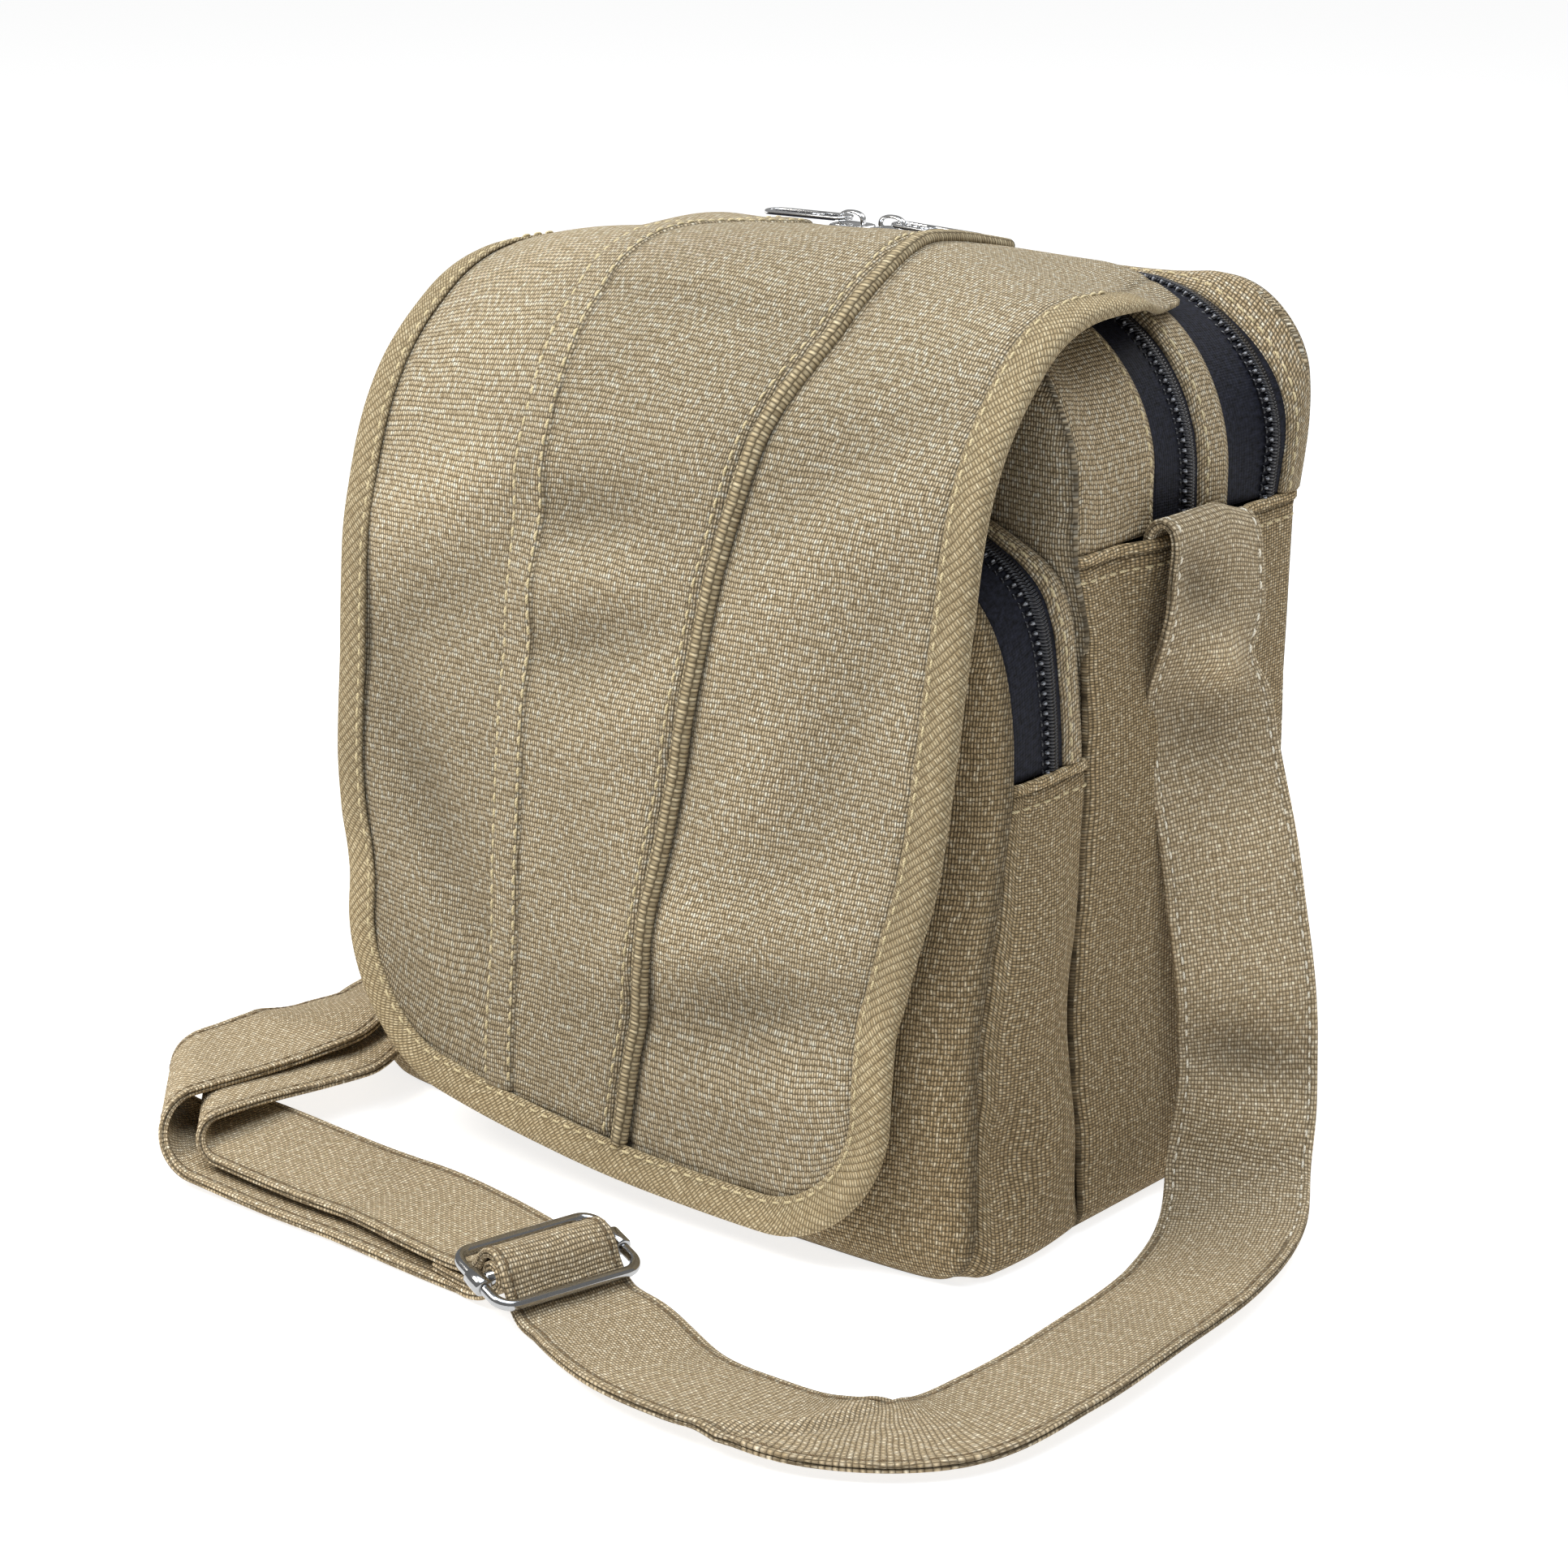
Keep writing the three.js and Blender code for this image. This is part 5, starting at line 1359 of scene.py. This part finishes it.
def ring_end():
    """Up the left side as one layer, round the ring and back down as the other."""
    rows = rows_of(STRAP_LEFT)
    places = np.array([r[0] for r in rows])
    gaps = [r[6] for r in STRAP_LEFT]
    up = unit(np.cross([r[1] for r in rows], np.gradient(places, axis=0)))
    layers = [[(r[0] - n * side * gap, r[1]) for r, n, gap in zip(rows, up, gaps)] for side in (1, -1)]
    reach = WIRE / 2 + 3 * GAP + STRAP_THICK / 2
    ring = []
    for angle in np.linspace(0, math.pi, 7):
        place = (RING_X + reach * math.cos(angle), RING_Y, RING_BAR_Z + reach * math.sin(angle))
        ring.append((np.array(place), np.array((0, -1.0, 0))))
    return layers[0] + ring + layers[1][::-1]

# %% The strap from end to end
UPPER_LEAVES = [(-121.5, -40, 9.0, 0.93, 0.25, 0.24), (-132, -18, 8.2, 0.93, 0.15, 0.24)]
LOWER_LEAVES = [(-137, -26, 14.6, 0.94, 0.1, 0.26)]
RUN_IN = 16.0


def roll_rows(roll, *along):
    return [roll_row(roll, a) for a in along]


strap_parts = [
    swept_part(rows_of(STRAP_RIGHT) + at_slider(OVER_BAR)
               + roll_rows(UPPER, ROLL_START - RUN_IN, ROLL_START)),
    rolled_part(UPPER, 1),
    swept_part(roll_rows(UPPER, UPPER["end"], UPPER["end"] + RUN_IN) + rows_of(UPPER_LEAVES) + ring_end()
               + rows_of(LOWER_LEAVES) + roll_rows(LOWER, LOWER["end"] + RUN_IN, LOWER["end"])),
    rolled_part(LOWER, -1),
    swept_part(roll_rows(LOWER, ROLL_START, ROLL_START - RUN_IN) + at_slider(ROUND_BAR)),
]
print("strap is put together from", len(strap_parts), "parts")

# %% Dents and painted light
# Dents pressed into the strap: how far along it, how far across, half length, half width, height, slant
STRAP_DENTS = [
    (38, -8, 9, 11, -3.6, 0.5), (56, 2, 8, 12, 4.2, 0.3), (76, -5, 12, 16, -2.4, 0.3),
    (112, 4, 16, 18, 1.6, 0), (146, 3, 14, 20, 1.8, 0.1), (170, -1, 9, 19, -3.8, 0.25),
    (188, 4, 9, 18, 1.8, 0), (402, 0, 2.2, 24, -1.0, 0.9), (409, 0, 4, 24, 0.9, 0.9),
]
# Painted light on the strap: how much paler it is painted, by how far along it
STRAP_PAINTED_LIGHT = [
    (0, 1.1), (60, 1.12), (150, 1.3), (215, 1.2), (270, 1.0), (400, 1.05), (520, 1.08), (600, 1.2),
    (760, 1.3), (2000, 1.3),
]
# One edge is gathered under the hem: how far along, half length and how far in
STRAP_PINCH = (57, 9, -5.5)


def strap_press(run, p):
    """How far the dents move the strap outward."""
    height = np.zeros(np.broadcast(run, p).shape)
    for where, over, long, wide, high, slant in STRAP_DENTS:
        height = height + high * bump((run - where - slant * p) / long) * bump((p - over) / wide)
    return height


def side_of_slider(p):
    """How far the slider squeezes the strap's edges in."""
    return SLIDER_ACROSS * (SLIDER_SQUEEZE * p)[None, :, None]


def strap_surface(p):
    """The strap's middle surface at places across it, dents and all, and the way it faces."""
    p = np.asarray(p, float)
    mid, up = (np.concatenate(values) for values in zip(*[part(p) for part in strap_parts]))
    bar_gap = np.concatenate([part(np.zeros(1))[0] for part in strap_parts]) - SLIDER_AT - (0, 0, BAR_Z)
    mid = mid - side_of_slider(p) * bump(np.linalg.norm(bar_gap, axis=-1) / 26)[..., None]
    side = unit(np.concatenate([part(p + 1)[0] for part in strap_parts]) - mid)
    middle = np.concatenate([part(np.zeros(1))[0][:, 0] for part in strap_parts])
    run = run_along(middle)
    where, long, inward = STRAP_PINCH
    pinch = inward * bump((run[:, None] - where) / long) * smooth(p / 20)[None]
    moved = mid + side * pinch[..., None] + up * strap_press(run[:, None], p[None])[..., None]
    moved[..., 2] -= 4 * smooth((p[None] - 3) / 17) * bump((run[:, None] - 16) / 24)
    return moved, up, run


strap_length = strap_surface([0.0])[2][-1]
print("strap is", round(float(strap_length)), "mm long")

# %% Strap
# The edge of the flat tube: how far in from the edge, and how high as a share of its half thickness
TUBE_EDGE = [(3.4, 0.98), (2.5, 0.86), (1.6, 1.1), (0.9, 1.12), (0.3, 0.92), (0, 0.5), (0.3, 0.12), (1.0, 0)]
SEWN_IN, UPRIGHT_RUN = 2.5, 235


def pressed_tube(half, thick):
    """The section of a flat tube: two layers with a line between them, and a sewn dip by the round edge."""
    quarter = [(half * k / 9, thick) for k in (0.5, 1.5, 2.5, 3.5, 4.5, 5.5, 6.5)]
    quarter += [(half - back, thick * high) for back, high in TUBE_EDGE]
    right = quarter + [(p, -q) for p, q in quarter[-2::-1]]
    return np.array(right + [(-p, q) for p, q in right[::-1]])


tube = pressed_tube(STRAP_WIDTH / 2, STRAP_THICK / 2)
mid, up, run = strap_surface(tube[:, 0])
weave_at = np.where(tube[:, 1] >= 0, tube[:, 0], tube[:, 0] + 3.7)
flat = np.stack(np.broadcast_arrays(weave_at[None], run[:, None]), -1)
verts, faces, flat = tube_mesh(mid + up * tube[None, :, 1:], flat)
upright_part = run < UPRIGHT_RUN
sewn = bump((np.abs(tube[:, 0]) - STRAP_WIDTH / 2 + SEWN_IN) / 0.6)
line_shade = np.where(upright_part, 0.22, 0.6)[:, None] * sewn[None]
rim_shade = 0.5 * bump(tube[:, 1] / 0.25) * (np.abs(tube[:, 0]) > STRAP_WIDTH / 2 - 2)
# Painted shade in the sewn lines, between the layers at the edge and in the dents; painted light along the
# strap
strap_painted_light = (1 - line_shade - rim_shade[None]) * (1 + 0.1 * strap_press(run[:, None], tube[None, :, 0]))
strap_painted_light = strap_painted_light * read(STRAP_PAINTED_LIGHT, run)
strap = piece("strap", verts, faces, webbing, flat, strap_painted_light, nodes=["strap"], slot="canvas")
pale_runs, shaded_runs = [], []
for side in (-1, 1):
    edge_mid, edge_up, _ = strap_surface([side * (STRAP_WIDTH / 2 - SEWN_IN)])
    for face in (-1, 1):
        line = edge_mid[:, 0] + edge_up[:, 0] * face * STRAP_THICK * 0.42
        way = edge_up[:, 0] * face
        pale_runs.append(stitched(line[upright_part], way[upright_part], PITCH, 0.58, 0.36, 0.05, 0.25))
        shaded_runs.append(stitched(line[~upright_part], way[~upright_part], FINE_PITCH, 0.8, 0.36, 0.05))
sew("strap_thread", pale_runs, pale_thread, slot="canvas")
# Along the floor part the strap's thread is drawn dark brown: painted shade in its stitched groove
sew("strap_shaded_thread", shaded_runs, shaded_strap_thread, slot="canvas")
print("strap mesh:", len(verts), "points")

# %% [markdown]
# The hardware is bent wire. A round section is carried along a rounded rectangle for the slider and the
# ring; the slider's bar ends in two collars that turn on the side wires. A short tab of the same cloth
# holds the ring.

# %% Slider, ring and tab
BAR_REACH, SLIDER_GAP, SLIDER_WIRE, SLIDER_LEAN = 21.6, 25.0, 3.1, math.radians(15)
RING_REACH, RING_HALF, RING_Z, WIRE_CORNER = 22.8, 11.0, 153.0, 5.0
TAB_HALF, TAB_HALF_THICK = 18.0, 1.0
X, Y, Z = np.eye(3)


def circle(radius, sides=16):
    angle = np.arange(sides) * 2 * math.pi / sides
    return np.stack([radius * np.cos(angle), radius * np.sin(angle)], -1)


def rounded(half_a, half_b, corner, steps):
    """The outline of a rectangle with round corners."""
    spots = []
    for sa, sb, turn in ((1, 1, 0), (-1, 1, 1), (-1, -1, 2), (1, -1, 3)):
        for k in range(steps + 1):
            angle = (turn + k / steps) * math.pi / 2
            spots.append((sa * (half_a - corner) + corner * math.cos(angle),
                          sb * (half_b - corner) + corner * math.sin(angle)))
    return np.array(spots)


def ring_of(section, spots, centre, way_a, way_b, up):
    """A section carried round a flat outline."""
    at = centre + spots[:, :1] * way_a + spots[:, 1:] * way_b
    along = unit(np.roll(at, -1, 0) - np.roll(at, 1, 0))
    over = np.tile(up, (len(at), 1))
    return carried(at, unit(np.cross(along, over)), over, section, closed=True)


def wire_loop(centre, half_a, half_b, way_a, way_b, wire=WIRE):
    """A closed rounded rectangle of wire."""
    spots = rounded(half_a, half_b, WIRE_CORNER, 8)
    return ring_of(circle(wire / 2), spots, centre, way_a, way_b, unit(np.cross(way_a, way_b)))


def turned(centre, axis, rows, sides=20):
    """A round solid from a table of place along the axis and radius."""
    side = unit(np.cross(axis, Z if abs(axis[2]) < 0.9 else X))
    up = np.cross(axis, side)
    ring = circle(1.0, sides)
    verts = np.concatenate([centre + axis * p + (side * ring[:, :1] + up * ring[:, 1:]) * r for p, r in rows])
    return verts, tube_faces(len(rows), sides)


def joined(*meshes):
    """Several meshes as one."""
    verts, faces, start = [], [], 0
    for v, f, *_ in meshes:
        verts.append(v)
        faces += [[int(k) + start for k in face] for face in outward(v, f)]
        start += len(v)
    return np.concatenate(verts), faces


bar_middle = SLIDER_AT + (0, 0, BAR_Z)
lean = SLIDER_ALONG * math.cos(SLIDER_LEAN) + Z * math.sin(SLIDER_LEAN)
slider_wire = wire_loop(bar_middle, SLIDER_GAP / 2, BAR_REACH, lean, SLIDER_ACROSS, SLIDER_WIRE)
piece("slider_frame", *joined(slider_wire), chrome, nodes=["slider_frame"], slot="chrome")
rod = [(-BAR_REACH + 2.4, 1.8), (BAR_REACH - 2.4, 1.8)]
collar = [(-3.4, 1.7), (-3.3, 2.3), (-2.9, 2.6), (2.9, 2.6), (3.3, 2.3), (3.4, 1.7)]
collars = [turned(bar_middle + SLIDER_ACROSS * side * BAR_REACH, lean, collar) for side in (-1, 1)]
bar = joined(turned(bar_middle, SLIDER_ACROSS, rod), *collars)
piece("slider_bar", *bar, chrome, nodes=["slider_bar"], slot="chrome")
ring_wire = wire_loop(np.array((RING_X, RING_Y, RING_Z)), RING_HALF, RING_REACH, Z, Y)
piece("strap_ring", *joined(ring_wire), chrome, nodes=["strap_ring"], slot="chrome")

# The tab's line round the ring, seen from the front
TAB_LINE = [(-115.5, 186), (-116.6, 178), (-117.7, 168), (-117.7, 164), (-118.63, 161.83), (-120.8, 160.9),
            (-122.97, 161.83), (-123.9, 164), (-123.4, 169), (-119.9, 178), (-118.1, 186)]
tab_at, tab_across, tab_up, tab_length = ribbon([(np.array((x, RING_Y, z)), Y) for x, z in TAB_LINE], 1.2)
verts, faces, flat = carried(tab_at, tab_across, tab_up, pressed_tube(TAB_HALF, TAB_HALF_THICK))
piece("strap_tab", verts, outward(verts, faces), webbing, flat, nodes=["strap_tab"], slot="canvas")
print("slider, ring and tab;", "tab is", round(tab_length), "mm of cloth")

# %% [markdown]
# Two sliders meet at the back zipper, each with a pull that lies outward. A slider is a rounded block with
# a small arch; a pull is a flat ring of polished metal with one bar across it. The pulls ride on their own
# bodies, so that they can swing up.

# %% Zip sliders and pulls
REAR_CHAIN_Y, REAR_SLIDER_Z = 88.75, 248.08
BLOCK = (13.0, 9.4, 2.4)
PULL_LENGTH, PULL_WIDTH, PULL_BAND, PULL_CORNER, PULL_DROOP = 32.0, 7.6, 1.5, 3.0, math.radians(1.5)
PULLS_MIDDLE, PULLS_APART, HINGE_Z = -26.5, 8.7, 251.98


def block(centre, size, round_by=0.7):
    """A box with softened edges, made as a stack of rounded outlines."""
    half_x, half_y, high = size[0] / 2, size[1] / 2, size[2]
    narrow = min(half_x, half_y)
    outline = rounded(half_x, half_y, narrow * 0.55, 6)
    rise = [(0, 1), (0.3, 0.3), (1, 0)]
    rows = [(round_by * z, inset) for z, inset in rise]
    rows += [(high - round_by * z, inset) for z, inset in rise[::-1]]
    verts = [np.column_stack([outline * (1 - inset * round_by / narrow), np.full(len(outline), z)])
             for z, inset in rows]
    return np.concatenate(verts) + centre, tube_faces(len(rows), len(outline))


def arch_over(centre, length, high, width, thick):
    """A small bent strip over a slider."""
    half = length / 2
    line = through([(-half, 0, 0), (-half + 0.3, 0, high * 0.7), (-half / 2, 0, high), (half / 2, 0, high),
                    (half - 0.3, 0, high * 0.7), (half, 0, 0)], 6) + centre
    along = unit(np.gradient(line, axis=0))
    across = np.tile(Y, (len(line), 1))
    section = circle(1.0, 12) * (width / 2, thick / 2)
    return carried(line, across, np.cross(along, across), section)


def zip_slider(name, x, y, z):
    """A slider on a chain: the block, a lip on each side and the arch for the pull."""
    base = np.array((x, y, z))
    lips = [block(base + (0, s * (BLOCK[1] / 2 - 0.8), -1.4), (BLOCK[0] - 2, 1.5, 2.4), 0.4) for s in (-1, 1)]
    parts = [block(base, BLOCK), *lips, arch_over(base + (0, 0, BLOCK[2] - 0.3), 8.4, 3.6, 2.4, 1.1)]
    piece(name, *joined(*parts), bright_chrome, nodes=[name], slot="chrome")


def zip_pull(name, side, body):
    """A pull that lies outward from its hinge: a flat ring with one bar across."""
    hinge = np.array((PULLS_MIDDLE + side * PULLS_APART, REAR_CHAIN_Y, HINGE_Z))
    along = np.array((side * math.cos(PULL_DROOP), 0, -math.sin(PULL_DROOP)))
    up = np.array((side * math.sin(PULL_DROOP), 0, math.cos(PULL_DROOP)))
    centre = hinge + along * (PULL_LENGTH / 2 - 0.7)
    section = np.array([(0.75, 0.35), (0.5, 0.62), (0, 0.7), (-0.5, 0.62), (-0.75, 0.35)])
    section = np.concatenate([section, -section])
    outline = rounded((PULL_LENGTH - PULL_BAND) / 2, (PULL_WIDTH - PULL_BAND) / 2, PULL_CORNER, 6)
    ring = ring_of(section, outline, centre, along, Y, up)
    bars = []
    for reach in (-4.5, -3.0):
        ends = np.array([centre + along * reach + Y * end * (PULL_WIDTH / 2 - PULL_BAND) for end in (-1, 1)])
        bars.append(carried(ends, np.tile(along, (2, 1)), np.tile(up, (2, 1)), section))
    piece(name, *joined(ring, *bars), bright_chrome, body=body, nodes=[name], slot="chrome")


zip_slider("rear_slider_left", -34.0, REAR_CHAIN_Y, REAR_SLIDER_Z)
zip_slider("rear_slider_right", -19.0, REAR_CHAIN_Y, REAR_SLIDER_Z)
zip_pull("rear_pull_left", -1, "pull_left")
zip_pull("rear_pull_right", 1, "pull_right")
for name in ("front_slider", "pocket_slider"):
    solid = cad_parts[name]
    solid.data.materials.clear()
    solid.data.materials.append(chrome)
print("four sliders and two pulls")

# %% [markdown]
# The last sewing holds the hems: one row under each side hem and one under each hem of the pocket. The rows
# beside the zippers and down the back, laid out on the way, are sewn with them.

# %% Hems
for band, pitch, radius in ((side_grid, PITCH, 0.42), (pocket_band, FINE_PITCH, 0.4)):
    for column, way in ((11, -X), (-12, X)):
        body_runs.append(stitched(band[:, column], np.tile(way, (len(band), 1)), pitch, 0.7, radius, 0.15))
sew("body_thread", body_runs, tan_thread, slot="canvas")
